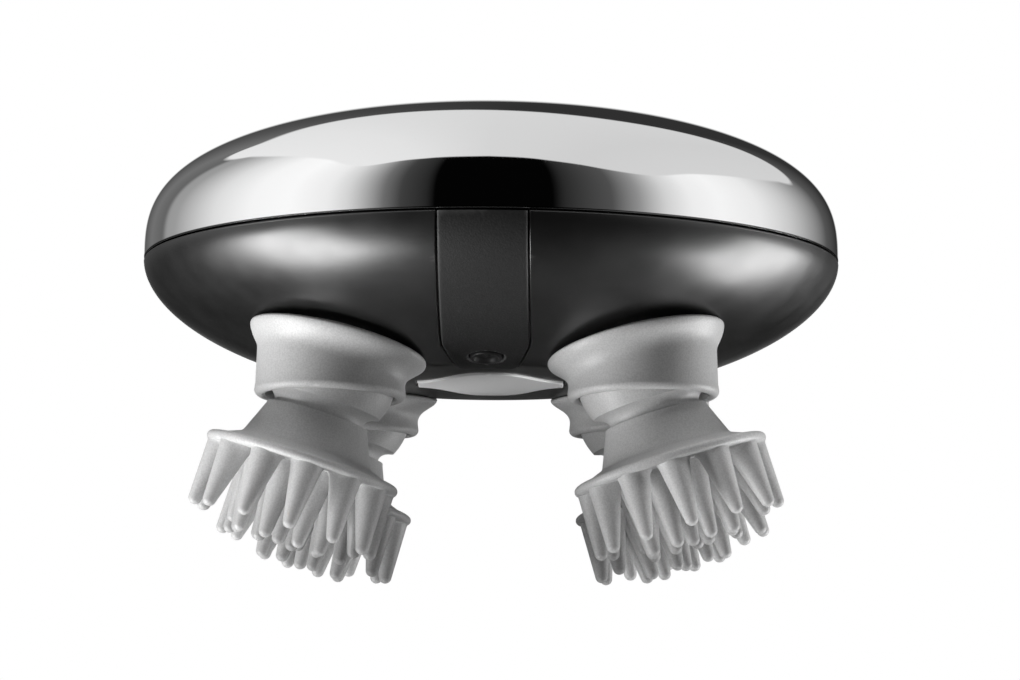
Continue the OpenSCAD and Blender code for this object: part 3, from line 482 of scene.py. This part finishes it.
ahead = Vector((math.sin(YAW), math.cos(YAW), 0))
look = Vector((math.sin(YAW) * math.cos(PITCH), math.cos(YAW) * math.cos(PITCH),
               math.sin(PITCH)))
right0 = Vector((math.cos(YAW), -math.sin(YAW), 0))
up0 = right0.cross(look)
right = right0 * math.cos(ROLL) + up0 * math.sin(ROLL)
up = -right0 * math.sin(ROLL) + up0 * math.cos(ROLL)
eye = -EYE_BACK * ahead + EYE_SIDE * right0 + Vector((0, 0, SEAM_Z - EYE_LOW))
cam_data = bpy.data.cameras.new("camera")
cam_data.sensor_width = SENSOR
cam_data.lens = FOCAL_PX / WIDTH_PX * SENSOR
cam_data.clip_start, cam_data.clip_end = 0.01, 100
cam = bpy.data.objects.new("camera", cam_data)
bpy.context.scene.collection.objects.link(cam)
cam.matrix_world = Matrix((
    (right.x, up.x, -look.x, eye.x * 0.001),
    (right.y, up.y, -look.y, eye.y * 0.001),
    (right.z, up.z, -look.z, eye.z * 0.001),
    (0, 0, 0, 1)))
bpy.context.scene.camera = cam

# ---------------------------------------------------------------- studio
bpy.context.scene.view_settings.view_transform = "Standard"

# The room that the glossy parts mirror, by azimuth in degrees: 0 lies behind the object, 90 to
# its right. HORIZON is the wall's brightness, BORDER the height of the ceiling's edge as a
# share of 100 degrees. CEILING is the ceiling's brightness from the left (0) to the right (1).
HORIZON = [(-180, 0.001), (-163, 0.001), (-160, 0.022), (-152, 0.05), (-146, 0.16), (-140, 0.42),
           (-134, 0.68), (-127, 0.87), (-112, 1.0), (-96, 0.96), (-78, 0.76), (-66, 0.54),
           (-54, 0.34), (-47, 0.32), (-43, 0.13), (-30, 0.17), (-15, 0.09), (0, 0.03),
           (15, 0.03), (33, 0.09), (50, 0.36), (63, 0.60), (80, 0.86), (98, 0.96),
           (110, 0.89), (120, 0.66), (130, 0.28), (139, 0.08), (155, 0.022), (158.5, 0.001),
           (180, 0.001)]
BORDER = [(-180, 0.54), (-157, 0.514), (-144, 0.464), (-131, 0.403), (-110, 0.485),
          (-79, 0.502), (-52, 0.437), (-38, 0.37), (-29, 0.41), (-9, 0.378), (10, 0.43),
          (22, 0.37), (38, 0.28), (50, 0.30), (75, 0.344), (100, 0.362), (123, 0.327),
          (141, 0.407), (159, 0.50), (180, 0.54)]
CEILING = [(0.08, 0.88), (0.35, 0.80), (0.5, 0.69), (0.7, 0.65), (0.92, 0.68)]
BORDER_BLUR = 1.6
WALL_DARK, WALL_FOOT, WALL_RISE = 0.1, -5, 12
BACKDROP_EDGE, BACKDROP_CORE = 14.0, 7.0


def by_azimuth(stops):
    """Stops by azimuth as stops of a colour ramp over the full turn."""
    return [((deg + 180) / 360, v) for deg, v in stops]


def studio_world():
    """White behind the object, and a dark studio for what the glossy parts mirror."""
    w = bpy.data.worlds.new("studio")
    w.use_nodes = True
    t = w.node_tree
    t.nodes.clear()
    new, link = t.nodes.new, t.links.new
    out = new("ShaderNodeOutputWorld")
    coord = new("ShaderNodeTexCoord")
    sep = new("ShaderNodeSeparateXYZ")
    link(coord.outputs["Generated"], sep.inputs[0])

    def mth(op, a, b=None, c=None, clamp=False):
        n = new("ShaderNodeMath")
        n.operation = op
        n.use_clamp = clamp
        for i, v in enumerate((a, b, c)):
            if v is None:
                continue
            if isinstance(v, (int, float)):
                n.inputs[i].default_value = v
            else:
                link(v, n.inputs[i])
        return n.outputs[0]

    def ramp(fac, stops, interp="LINEAR"):
        n = new("ShaderNodeValToRGB")
        n.color_ramp.interpolation = interp
        els = n.color_ramp.elements
        while len(els) > 1:
            els.remove(els[-1])
        els[0].position = stops[0][0]
        els[0].color = (stops[0][1],) * 3 + (1,)
        for p, v in stops[1:]:
            e = els.new(p)
            e.color = (v,) * 3 + (1,)
        link(fac, n.inputs[0])
        return n.outputs["Color"]

    azimuth = mth("ARCTAN2", sep.outputs["X"], sep.outputs["Y"])
    turn = mth("MULTIPLY_ADD", azimuth, 1 / (2 * math.pi), 0.5)
    elev = mth("MULTIPLY", mth("ARCSINE", sep.outputs["Z"]), 180 / math.pi)
    horizon = ramp(turn, by_azimuth(HORIZON))
    side = mth("MULTIPLY_ADD", sep.outputs["X"], 0.5, 0.5)
    ceiling = ramp(side, CEILING)
    border = ramp(turn, by_azimuth(BORDER), "CARDINAL")
    edge = mth("MULTIPLY_ADD", border, -100.0, elev)
    above = mth("MULTIPLY_ADD", edge, 1 / BORDER_BLUR, 0.5, clamp=True)
    mixer = new("ShaderNodeMix")
    mixer.data_type = "RGBA"
    link(above, mixer.inputs["Factor"])
    colours = [i for i in mixer.inputs if i.type == "RGBA"]
    low = mth("MULTIPLY_ADD", elev, 1 / WALL_RISE, -WALL_FOOT / WALL_RISE, clamp=True)
    wall = new("ShaderNodeVectorMath")
    wall.operation = "SCALE"
    link(horizon, wall.inputs[0])
    link(mth("MULTIPLY_ADD", low, 1 - WALL_DARK, WALL_DARK), wall.inputs["Scale"])
    link(wall.outputs[0], colours[0])
    link(ceiling, colours[1])
    room = new("ShaderNodeBackground")
    link([o for o in mixer.outputs if o.type == "RGBA"][0], room.inputs["Color"])
    white = new("ShaderNodeBackground")
    white.inputs["Color"].default_value = (1, 1, 1, 1)
    path = new("ShaderNodeLightPath")
    facing = new("ShaderNodeVectorMath")
    facing.operation = "DOT_PRODUCT"
    link(coord.outputs["Generated"], facing.inputs[0])
    facing.inputs[1].default_value = look
    backdrop = new("ShaderNodeMapRange")
    backdrop.inputs["From Min"].default_value = math.cos(math.radians(BACKDROP_EDGE))
    backdrop.inputs["From Max"].default_value = math.cos(math.radians(BACKDROP_CORE))
    link(facing.outputs["Value"], backdrop.inputs["Value"])
    rays = path.outputs
    mirrored = mth("ADD", rays["Is Glossy Ray"], rays["Is Transmission Ray"], clamp=True)
    seen = mth("MULTIPLY_ADD", mirrored, backdrop.outputs["Result"], rays["Is Camera Ray"],
               clamp=True)
    pick = new("ShaderNodeMixShader")
    link(seen, pick.inputs[0])
    link(room.outputs[0], pick.inputs[1])
    link(white.outputs[0], pick.inputs[2])
    link(pick.outputs[0], out.inputs["Surface"])
    bpy.context.scene.world = w
    w.cycles_visibility.diffuse = False


studio_world()

# ---------------------------------------------------------------- floor and lamps
# Radii of the floor's rings in millimetres, its drop below the finger tips in metres, and the
# distances in metres from its centre over which it fades out for all but camera rays
FLOOR_RINGS, FLOOR_SEGMENTS = (100, 6000), 64
FLOOR_DROP = 0.0002
FLOOR_CLEAR = (0.02, 0.08)


def floor():
    """A pale floor under the finger tips, clear from below so that the object shows."""
    n = FLOOR_SEGMENTS
    turns = [2 * math.pi * k / n for k in range(n)]
    verts = [(0, 0, 0)]
    verts += [(r * math.cos(a), r * math.sin(a), 0) for r in FLOOR_RINGS for a in turns]
    faces = [(0, 1 + k, 1 + (k + 1) % n) for k in range(n)]
    faces += [(1 + k, 1 + n + k, 1 + n + (k + 1) % n, 1 + (k + 1) % n) for k in range(n)]
    m = bpy.data.materials.new("floor_white")
    m.use_nodes = True
    t = m.node_tree
    new, link = t.nodes.new, t.links.new
    shader = t.nodes["Principled BSDF"]
    shader.inputs["Base Color"].default_value = (0.82, 0.82, 0.82, 1)
    shader.inputs["Roughness"].default_value = 0.7
    geo = new("ShaderNodeNewGeometry")
    clear = new("ShaderNodeBsdfTransparent")
    pick = new("ShaderNodeMixShader")
    path = new("ShaderNodeLightPath")
    far = new("ShaderNodeVectorMath")
    far.operation = "LENGTH"
    link(geo.outputs["Position"], far.inputs[0])
    fade = new("ShaderNodeMapRange")
    fade.inputs["From Min"].default_value = FLOOR_CLEAR[0]
    fade.inputs["From Max"].default_value = FLOOR_CLEAR[1]
    link(far.outputs["Value"], fade.inputs["Value"])
    both = new("ShaderNodeMix")
    link(path.outputs["Is Camera Ray"], both.inputs["Factor"])
    link(fade.outputs["Result"], both.inputs["A"])
    link(geo.outputs["Backfacing"], both.inputs["B"])
    link(both.outputs["Result"], pick.inputs[0])
    link(shader.outputs[0], pick.inputs[1])
    link(clear.outputs[0], pick.inputs[2])
    link(pick.outputs[0], t.nodes["Material Output"].inputs["Surface"])
    ob = piece("floor", verts, faces, mats=[m], smooth=False)
    for poly in ob.data.polygons:
        if poly.normal.z < 0:
            poly.flip()
    ob.location.z = -FLOOR_DROP


floor()

# Metres from the soft boxes to the point at which they aim
LAMP_REACH, LAMP_AIM = 1.1, Vector((0, 0, 0.05))


def box_lamp(name, azimuth, elevation, width, height, energy):
    """A soft box towards the object; azimuth 0 is behind it, 90 to its right."""
    a, e = math.radians(azimuth), math.radians(elevation)
    away = Vector((math.sin(a) * math.cos(e), math.cos(a) * math.cos(e), math.sin(e)))
    lamp = bpy.data.lights.new(name, "AREA")
    lamp.shape = "RECTANGLE"
    lamp.size, lamp.size_y = width, height
    lamp.energy = energy
    ob = bpy.data.objects.new(name, lamp)
    ob.location = away * LAMP_REACH + LAMP_AIM
    ob.rotation_euler = (LAMP_AIM - ob.location).to_track_quat("-Z", "Y").to_euler()
    bpy.context.scene.collection.objects.link(ob)
    return ob


BOXES = [box_lamp("left_box", -104, -38, 0.55, 0.9, 19.0),
         box_lamp("right_box", 72, -27, 0.6, 0.8, 13.0),
         box_lamp("top_box", 180, 82, 1.1, 1.1, 18.0),
         box_lamp("front_fill", 175, -12, 1.2, 0.9, 1.6)]
BOXES[2].visible_glossy = BOXES[3].visible_glossy = False


# ---------------------------------------------------------------- dome
def make_dome():
    low = np.linspace(DOME_ROUND, DOME_SPLIT * DOME_H, 70)
    outer = [(dome_r(z), z + SEAM) for z in low]
    outer += [(r, dome_z(r) + SEAM) for r in np.linspace(dome_r(low[-1]), 0, 90)[1:]]
    inner_low = np.linspace(DOME_SPLIT * (DOME_H - WALL), SEAM + 0.05, 24)
    inner = [(r, dome_z(r, WALL)) for r in np.linspace(0, dome_r(inner_low[0], WALL), 30)]
    inner += [(dome_r(z, WALL), z) for z in inner_low[1:]]
    foot = [(BODY_R - WALL, SEAM), (BODY_R - DOME_ROUND, SEAM)]
    foot += arc(BODY_R - DOME_ROUND, SEAM + DOME_ROUND, DOME_ROUND, -90, 0, 5)[1:]
    mesh = lathe(outer + inner + foot, DOME_SEGMENTS)
    ob = piece("dome", *mesh, place=SEAM_PLACE, mats=[MATS["chrome_shell"]], sharp=40)
    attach(ob, "housing")
    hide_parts("top_cover")
    return ob


# The dome mirrors the room itself, so the soft boxes leave it out.
unlit = bpy.data.collections.new("mirrors_the_room")
unlit.objects.link(make_dome())
unlit.collection_objects[0].light_linking.link_state = "EXCLUDE"
for box in BOXES:
    box.light_linking.receiver_collection = unlit


# ---------------------------------------------------------------- lower shell and its parts
def curve_normal(r):
    """Outward normal (radial, vertical) of the lower shell's outside at a radius."""
    depth = max(-shell_curve_z(r), 1e-6)
    radial = SHELL_FULL / BODY_R * (r / BODY_R) ** (SHELL_FULL - 1)
    down = -SHELL_EDGE / SHELL_H * depth ** (SHELL_EDGE - 1) / SHELL_H ** (SHELL_EDGE - 1)
    d = float(shell_curve_z(r)) + BOTTOM_H
    share = 0.5 * (1 + d / math.sqrt(d * d + BOTTOM_SOFT * BOTTOM_SOFT))
    return Vector((radial * share, down)).normalized()


# The lower shell's outside from seam to centre: radius, height and length along it
MERIDIAN_R = BODY_R * np.sin(np.linspace(0, math.pi / 2, 700))[::-1]
MERIDIAN_Z = shell_z(MERIDIAN_R)
STEPS = np.hypot(np.diff(MERIDIAN_R), np.diff(MERIDIAN_Z))
MERIDIAN_S = np.concatenate([[0], np.cumsum(STEPS)])


def strip_point(x, s, d):
    """Point of the front strip: x across, s along the shell from the seam, d above the shell."""
    if s < 0:
        y = -math.sqrt(BODY_R * BODY_R - x * x)
        return Vector((x * (BODY_R + d) / BODY_R, y * (BODY_R + d) / BODY_R, -s))
    rc = float(np.interp(s, MERIDIAN_S, MERIDIAN_R))
    bend = min(1.0, max(0.0, (rc - STRAIGHT_R) / STRAIGHT_SPAN))
    bend = bend * bend * (3 - 2 * bend)
    y = -math.sqrt(rc * rc - bend * x * x)
    r = math.hypot(x, y)
    z = float(shell_z(min(r, BODY_R)))
    n = curve_normal(min(r, NEAR_RIM))
    return Vector((x + n[0] * d * x / r, y + n[0] * d * y / r, z + n[1] * d))


def strip_half(s, grow):
    """Half-width of the front strip, with a soft bend where its taper starts."""
    rc = float(np.interp(s, MERIDIAN_S, MERIDIAN_R))
    slope = (PANEL_HALF - PANEL_END_HALF) / (PANEL_TAPER_R - PANEL_TAPER_END_R)
    d = -(PANEL_TAPER_R - rc) * slope
    return PANEL_HALF + 0.5 * (d - math.sqrt(d * d + PANEL_SOFT)) + grow


def strip_solid(name, steps, s_top):
    """The front strip's outline as a closed solid on the shell from (growth, height) steps."""
    foot = float(np.interp(-PANEL_END_R, -MERIDIAN_R, MERIDIAN_S))
    turn = [math.sin(math.pi / 2 * k / CORNER_STEPS) for k in range(1, CORNER_STEPS + 1)]
    grids = []
    for grow, height in steps:
        end, corner = foot + grow, max(0.3, PANEL_CORNER + grow)
        lengths = list(np.linspace(s_top, end - corner, STRIP_ROWS))
        lengths += [end - corner + corner * t for t in turn]
        grid = []
        for j, s in enumerate(lengths):
            w = strip_half(min(s, foot), grow)
            if j >= STRIP_ROWS:
                w -= corner * (1 - math.sqrt(max(0, 1 - turn[j - STRIP_ROWS] ** 2)))
            across = [w * (2 * i / STRIP_COLS - 1) for i in range(STRIP_COLS + 1)]
            grid.append([strip_point(x, s, height) for x in across])
        grids.append(grid)
    return stacked(name, grids)


def plate_half(x, grow):
    """Half-width of the underside plate: a lens with a narrow tail at both ends."""
    lens = math.exp(-abs(x / PLATE_MID_HALF) ** 3)
    return PLATE_TAIL_HALF + grow + (PLATE_HALF_W - PLATE_TAIL_HALF) * lens


def plate_solid(name, steps):
    """The underside plate's outline as a closed solid from (growth, height) steps."""
    grids = []
    for grow, z in steps:
        reach = PLATE_HALF_L + grow
        grid = []
        for i in range(PLATE_COLS + 1):
            x = reach * (2 * i / PLATE_COLS - 1)
            w = plate_half(x, grow)
            grid.append([(x, w * (2 * j / PLATE_ROWS - 1), z) for j in range(PLATE_ROWS + 1)])
        grids.append(grid)
    return stacked(name, grids)


def button_place():
    """Place on the shell's outside under the button, with +Z out of the shell."""
    rise = shell_z(BUTTON_AT + 0.5) - shell_z(BUTTON_AT - 0.5)
    slope = math.degrees(math.atan2(rise, 1.0))
    at = moved_to(0, -BUTTON_AT, float(shell_z(BUTTON_AT)))
    return SEAM_PLACE @ at @ rot_x(180 - slope)


def contact_place(side):
    """Place on the shell's outside at a charging contact, with +Z out of the shell."""
    y = float(shell_r(-CONTACT_LOW))
    rise = shell_curve_z(y + 0.5) - shell_curve_z(y - 0.5)
    slope = math.degrees(math.atan2(rise, 1.0))
    return SEAM_PLACE @ moved_to(side * CONTACT_X, y, -CONTACT_LOW) @ rot_x(slope - 180)


def smooth_shell_normals(ob):
    """True normals on the shell's outside, so that cut faces don't mark its gloss."""
    near, rim_low, facing = 0.03, -0.28, 0.93
    me = ob.data
    me.shade_smooth()
    me.set_sharp_from_angle(angle=math.radians(30))
    normals = np.zeros(len(me.loops) * 3, np.float32)
    me.corner_normals.foreach_get("vector", normals)
    normals = normals.reshape(-1, 3)
    co = np.zeros(len(me.vertices) * 3, np.float32)
    me.vertices.foreach_get("co", co)
    co = co.reshape(-1, 3) * 1000
    r = np.hypot(co[:, 0], co[:, 1])
    z = co[:, 2] - SEAM_Z
    by_height = np.abs(z - shell_z(np.minimum(r, BODY_R))) < near
    by_radius = (z < rim_low) & (np.abs(r - shell_r(z)) < near)
    outside = by_height | by_radius
    true = np.zeros_like(co)
    for i in np.nonzero(outside)[0]:
        n = curve_normal(min(float(r[i]), NEAR_RIM))
        k = 1 / max(r[i], 1e-6)
        true[i] = (n[0] * co[i, 0] * k, n[0] * co[i, 1] * k, n[1])
    for p in me.polygons:
        vs = [me.loops[k].vertex_index for k in p.loop_indices]
        if all(outside[v] for v in vs) and Vector(true[vs[0]]).dot(p.normal) > facing:
            for k, v in zip(p.loop_indices, vs):
                normals[k] = true[v]
    me.normals_split_custom_set([tuple(n) for n in normals])


def only_material(ob, material):
    """The one material of a piece, in place of those that its cuts brought along."""
    ob.data.materials.clear()
    ob.data.materials.append(material)


def make_shell():
    turns = np.linspace(0, math.pi / 2, 130)[:-4]
    outer = [(r, shell_z(r)) for r in BODY_R * np.sin(turns)]
    outer = [p for p in outer if p[1] < -SHELL_TOP] + [(shell_r(-SHELL_TOP), -SHELL_TOP)]
    lip = arc(BODY_R - SHELL_ROUND, -SHELL_ROUND, SHELL_ROUND, 0, 90, 5)
    tongue = [(TONGUE_R, 0), (TONGUE_R, TONGUE_TOP), (TONGUE_BORE_R, TONGUE_TOP),
              (TONGUE_BORE_R, TONGUE_FOOT)]
    inner = [(shell_r(z, WALL), z) for z in np.linspace(TONGUE_FOOT, -15, 16)]
    inner += [(r, max(shell_curve_z(r, WALL), WALL - BOTTOM_H))
              for r in np.linspace(inner[-1][0], 0, 40)[1:]]
    profile = outer + lip + tongue + inner
    shell = piece("lower_case", *lathe(profile, SHELL_SEGMENTS), place=SEAM_PLACE)

    gap = PANEL_GAP
    recess = [(gap + 0.55, 0.9), (gap + 0.3, 0.12), (gap + 0.2, 0.0), (gap + 0.1, -0.05),
              (gap + 0.03, -0.13), (gap, -0.25), (gap, PANEL_RAISE - PANEL_T - 0.1)]
    pocket = [(gap + 0.5, -0.9), (gap + 0.25, 0.0), (gap + 0.08, 0.08), (gap, 0.25),
              (gap, PLATE_POCKET)]
    cutters = [strip_solid("cutter", recess, -1.5),
               plate_solid("cutter", [(g, z - BOTTOM_H) for g, z in pocket])]
    for h in HEADS:
        place = pivot(h) @ outward(h) @ rot_y(-OPENING_LEAN)
        cutters.append(rod_cutter(OPENING_R, OPENING_R, -10, 16, place))
    hole = BUTTON_R + BUTTON_GAP
    cutters.append(rod_cutter(hole, hole, -WALL - 2, 2, button_place()))
    for side in (-1, 1):
        bore, place = CONTACT_R + CONTACT_GAP, contact_place(side)
        cutters.append(rod_cutter(bore, bore, -WALL - 2, 0, place))
        cutters.append(rod_cutter(CONTACT_R + RECESS_R, CONTACT_R + RECESS_MOUTH_R, -RECESS_H, 1,
                                  place))
    cut(shell, cutters)
    only_material(shell, MATS["black_shell"])
    smooth_shell_normals(shell)
    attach(shell, "housing")
    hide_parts("lower_shell")


def make_panel():
    steps = [(0, PANEL_RAISE - PANEL_T), (0, PANEL_RAISE - PANEL_ROUND - 0.05)]
    steps += rounded(PANEL_ROUND, PANEL_RAISE, -1) + [(-0.9, PANEL_RAISE)]
    panel = strip_solid("front_strip", steps, PANEL_TOP)
    throat = PANEL_RAISE - HOLE_MOUTH_H
    cut(panel, [rod_cutter(HOLE_R, HOLE_R, -3, throat + 0.01, button_place()),
                rod_cutter(HOLE_R, HOLE_MOUTH_R, throat, PANEL_RAISE + 0.3, button_place())])
    only_material(panel, MATS["panel"])
    panel.data.shade_smooth()
    panel.data.set_sharp_from_angle(angle=math.radians(30))
    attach(panel, "housing")
    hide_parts("front_panel")


def make_plate():
    low = PLATE_POCKET - PLATE_T - TOUCH - BOTTOM_H
    steps = [(0, low + PLATE_T), (0, low + PLATE_ROUND)] + rounded(PLATE_ROUND, low, 1)
    plate = plate_solid("underside_plate", steps + [(-0.8, low)])
    plate.data.materials.append(MATS["grey_plate"])
    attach(plate, "housing")
    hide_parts("bottom_plate")


def make_button():
    """A cap with a raised ring round a dish that has a small knob in its middle."""
    top = PANEL_RAISE + BUTTON_PROUD
    foot = -WALL - 0.5
    sole = foot - BUTTON_FLANGE_T
    prof = [(0, sole), (BUTTON_FLANGE_R, sole), (BUTTON_FLANGE_R, foot), (BUTTON_R, foot)]
    prof += arc(BUTTON_R - 0.25, top - 0.25, 0.25, 0, 90, 6)
    prof += arc(BUTTON_R - 0.5, top - 0.22, 0.22, 90, 168, 5)
    dish = [(2.25, 0.3), (2.1, 0.52), (1.9, 0.68), (1.5, 0.78), (0.9, 0.8)]
    knob = [(0.7, 0.74), (0.5, 0.62), (0.3, 0.54), (0, 0.51)]
    prof += [(r, top - depth) for r, depth in dish + knob]
    cap = lathe(prof, 96, closed=False)
    shank = [(0, STEM_END), (STEM_R, STEM_END), (STEM_R, foot - 0.5), (0, foot - 0.5)]
    stem = lathe(shank, 48, closed=False)
    ob = join("button_cap", [cap, stem], place=button_place(), mats=[MATS["button"]], sharp=35)
    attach(ob, "button")
    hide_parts("power_button")


make_shell()
make_panel()
make_plate()
make_button()


# ---------------------------------------------------------------- collars
def under_shell(h, x, y):
    """Height of the shell's outside over the pivot at a point beside it."""
    r = math.hypot(SIDE_X[h] * STATION + x, SIDE_Y[h] * STATION + y)
    return float(shell_z(min(r, BODY_R))) + PIVOT_DROP


def rim_point(h, c, s):
    """Outermost point of a collar's flare, towards the direction (c, s), from the pivot."""
    lean = math.radians(RIM_LEAN_X)
    lx, ly = math.tan(lean), math.tan(math.radians(RIM_LEAN_Y))
    cx, cy = -SIDE_X[h] * lx * RIM_S, -SIDE_Y[h] * ly * RIM_S
    x, y = cx + RIM_R * c * math.cos(lean), cy + RIM_R * s
    z = RIM_S + SIDE_X[h] * lx * (x - cx) + SIDE_Y[h] * ly * (y - cy)
    return Vector((x, y, min(z, under_shell(h, x, y) - RIM_PROUD)))


def collar_ring(h, a, sleeve, opening):
    """The collar's section towards azimuth a, as points from the pivot."""
    c, s = math.cos(a), math.sin(a)

    def at_sleeve(r, z):
        return sleeve @ Vector((r * c, r * s, z))

    def at_opening(r, z):
        return opening @ Vector((r * c, r * s, z))

    # Bore, seat, lip and waist
    pts = [at_opening(BORE_R, z) for z in (COLLAR_TOP, BORE_STEP, BORE_FOOT)]
    pts += [at_sleeve(math.sqrt(SEAT_R ** 2 - z * z), z)
            for z in np.linspace(SEAT_HIGH, SEAT_LOW, 12)]
    lip = arc(COLLAR_R - LIP_R + LIP_BULGE, LIP_R - LIP_H, LIP_R, -136, 18, 16)
    pts += [at_sleeve(*p) for p in lip]
    pts += [at_sleeve(COLLAR_R + LIP_BULGE * 0.55, -2.72), at_sleeve(COLLAR_R + 0.04, -2.35)]

    # Flare, as a Bezier curve from the sleeve to the rim, and the rim's round
    up = sleeve @ Vector((0, 0, 1))
    out = Vector((c, s, 0))
    rim = rim_point(h, c, s)
    reach = rim.dot(up)
    foot = max(FLARE_FOOT, reach - FLARE_H)
    k = (reach - foot) / FLARE_H
    p0 = at_sleeve(COLLAR_R, foot)
    p1 = at_sleeve(COLLAR_R - 0.12, foot + 3.0 * k)
    p2 = rim - up * 1.9 * k - out * 0.35
    for q in range(FLARE_STEPS + 1):
        t = q / FLARE_STEPS
        u = 1 - t
        pts.append(p0 * u ** 3 + p1 * 3 * t * u ** 2 + p2 * 3 * t * t * u + rim * t ** 3)
    for q in range(1, RIM_STEPS + 1):
        w = math.pi / 2 * q / RIM_STEPS
        pts.append(rim - out * RIM_ROUND * (1 - math.cos(w)) + up * RIM_ROUND * math.sin(w))

    # Tuck under the shell, and the root inside the shell's opening
    tuck = rim - out * RIM_TUCK
    tuck.z = min(under_shell(h, tuck.x, tuck.y) - TOUCH, rim.z + RIM_TUCK_H)
    pts.append(tuck)
    axis = opening @ Vector((0, 0, 1))
    root = at_opening(ROOT_R, (tuck.z - 0.1 - at_opening(ROOT_R, 0).z) / axis.z)
    root.z = min(root.z, under_shell(h, root.x, root.y) - 0.1)
    pts.append(root)
    pts += [at_opening(ROOT_R, max(8.6, root.dot(axis) + 0.3)), at_opening(ROOT_R, COLLAR_TOP)]
    return pts


def make_collar(h):
    seg = COLLAR_SEGMENTS
    turn = outward(h)
    sleeve = turn @ rot_y(-COLLAR_LEAN) @ turn.inverted()
    opening = turn @ rot_y(-OPENING_LEAN) @ turn.inverted()
    rings = [collar_ring(h, 2 * math.pi * k / seg, sleeve, opening) for k in range(seg)]
    n = len(rings[0])
    verts = [p for ring in rings for p in ring]
    faces = []
    for k in range(seg):
        a, b = k * n, (k + 1) % seg * n
        faces += [(a + i, a + (i + 1) % n, b + (i + 1) % n, b + i) for i in range(n)]
    ob = piece("collar_sleeve_" + h, verts, faces, place=pivot(h), mats=[MATS["silicone"]],
               sharp=50)
    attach(ob, "housing")
    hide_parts("collar_" + h)


# ---------------------------------------------------------------- heads
def boot_profile():
    """Section of the neck boot: a neck that widens into the skirt, which runs in the collar."""
    end = math.radians(90 + SKIRT_LOW)
    low = (SKIRT_R * math.sin(end), -SKIRT_R * math.cos(end))
    start = 0.2 - CUP_TOP
    prof = [(BOOT_R, -BOOT_FOOT)]
    for k in range(13):
        t = k / 12
        prof.append((BOOT_R + (low[0] - BOOT_R) * t * t,
                     start + (low[1] - start) * t * (3 - t) / 2))
    prof += arc(0, 0, SKIRT_R, SKIRT_LOW, SKIRT_HIGH, 16)[1:]
    prof += arc(0, 0, SKIRT_R - BOOT_T, SKIRT_HIGH, SKIRT_LOW - 0.5, 14)
    return prof + [(8.3, -5.4), (8.3, -6.25), (BOOT_BORE_R, -6.25), (BOOT_BORE_R, -BOOT_FOOT)]


def cup_profile():
    """Section of a head's cup and flange, with the hollow for its hub."""
    half = FLANGE_T / 2
    prof = CUP_HOLLOW + [(8.9, -CUP_TOP - 0.12), (9.02, -CUP_TOP)]
    prof += arc(CUP_TOP_R - CUP_ROUND, -CUP_TOP - CUP_ROUND, CUP_ROUND, 90, 20, 4)
    top, foot = (CUP_TOP_R, -CUP_TOP - 0.3), (CUP_FOOT_R - 0.42, -CUP_FOOT + 0.75)
    prof += [(top[0] + (foot[0] - top[0]) * t, top[1] + (foot[1] - top[1]) * t)
             for t in np.linspace(0.04, 1, 7)]
    sweep = [(-0.2, 0.34), (0.08, 0.06), (0.5, -0.13), (1.6, -0.55), (2.9, -1.06), (3.9, -1.42)]
    prof += [(CUP_FOOT_R + r, -CUP_FOOT + z) for r, z in sweep]
    prof += arc(FLANGE_R - half, -FLANGE, half, 75, -90, 14)
    return prof + [(r, -FLANGE - half) for r in (13, 8, 0)]


def finger(length, fillet):
    """A tapered finger along -Z from the flange's middle, with a small fillet and a round tip."""
    lean = math.atan((FINGER_BASE_R - FINGER_TIP_R) / length)
    taper = math.tan(lean)
    at_tip = FINGER_TIP_R / math.cos(lean)
    mid = fillet * 0.62
    prof = [(0, -FINGER_SUNK), (FINGER_BASE_R + fillet, -FINGER_SUNK),
            (FINGER_BASE_R + mid, -FILLET_TOP)]
    for t in (0.25, 0.5, 0.75, 1.0):
        z = FILLET_TOP + FILLET_H * t
        prof.append((at_tip + taper * (length - z) + mid * (1 - t) ** 2, -z))
    straight = FILLET_TOP + FILLET_H
    end = length + FINGER_TIP_R * math.sin(lean)
    for t in np.linspace(0, 1, 9)[1:]:
        z = straight + (end - straight) * t
        prof.append((at_tip + taper * (length - z), -z))
    prof += arc(0, -length, FINGER_TIP_R, -math.degrees(lean), -90, 9)[1:]
    return lathe(prof, FINGER_SEGMENTS, closed=False)


def make_head(h):
    parts = [lathe(cup_profile(), HEAD_SEGMENTS, closed=False)]
    turn = rot_z(HEAD_TURN[h])
    down = moved_to(0, 0, -FLANGE)
    slant = math.cos(math.radians(SPLAY))
    outer = finger((FINGER_L - FINGER_TIP_R) / slant, FILLET)
    inner = finger(INNER_FINGER_L - FINGER_TIP_R, 0.0)
    for k in range(OUTER_FINGERS):
        at = turn @ rot_z(360 * k / OUTER_FINGERS) @ down @ moved_to(FINGER_RING_R, 0, 0)
        parts.append(moved(outer, at @ rot_y(-SPLAY)))
    for k in range(INNER_FINGERS):
        at = turn @ rot_z(360 * (k + 0.5) / INNER_FINGERS) @ down
        parts.append(moved(inner, at @ moved_to(INNER_RING_R, 0, 0)))
    parts.append(moved(inner, down))
    look_of = dict(place=head_place(h), mats=[MATS["silicone"]], sharp=50)
    ob = join("head_" + h, parts, **look_of)
    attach(ob, "head_" + h)
    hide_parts("massage_head_" + h)
    boot = piece("boot_" + h, *lathe(boot_profile(), HEAD_SEGMENTS), **look_of)
    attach(boot, "head_" + h)
    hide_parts("neck_boot_" + h)


for head in HEADS:
    make_collar(head)
    make_head(head)
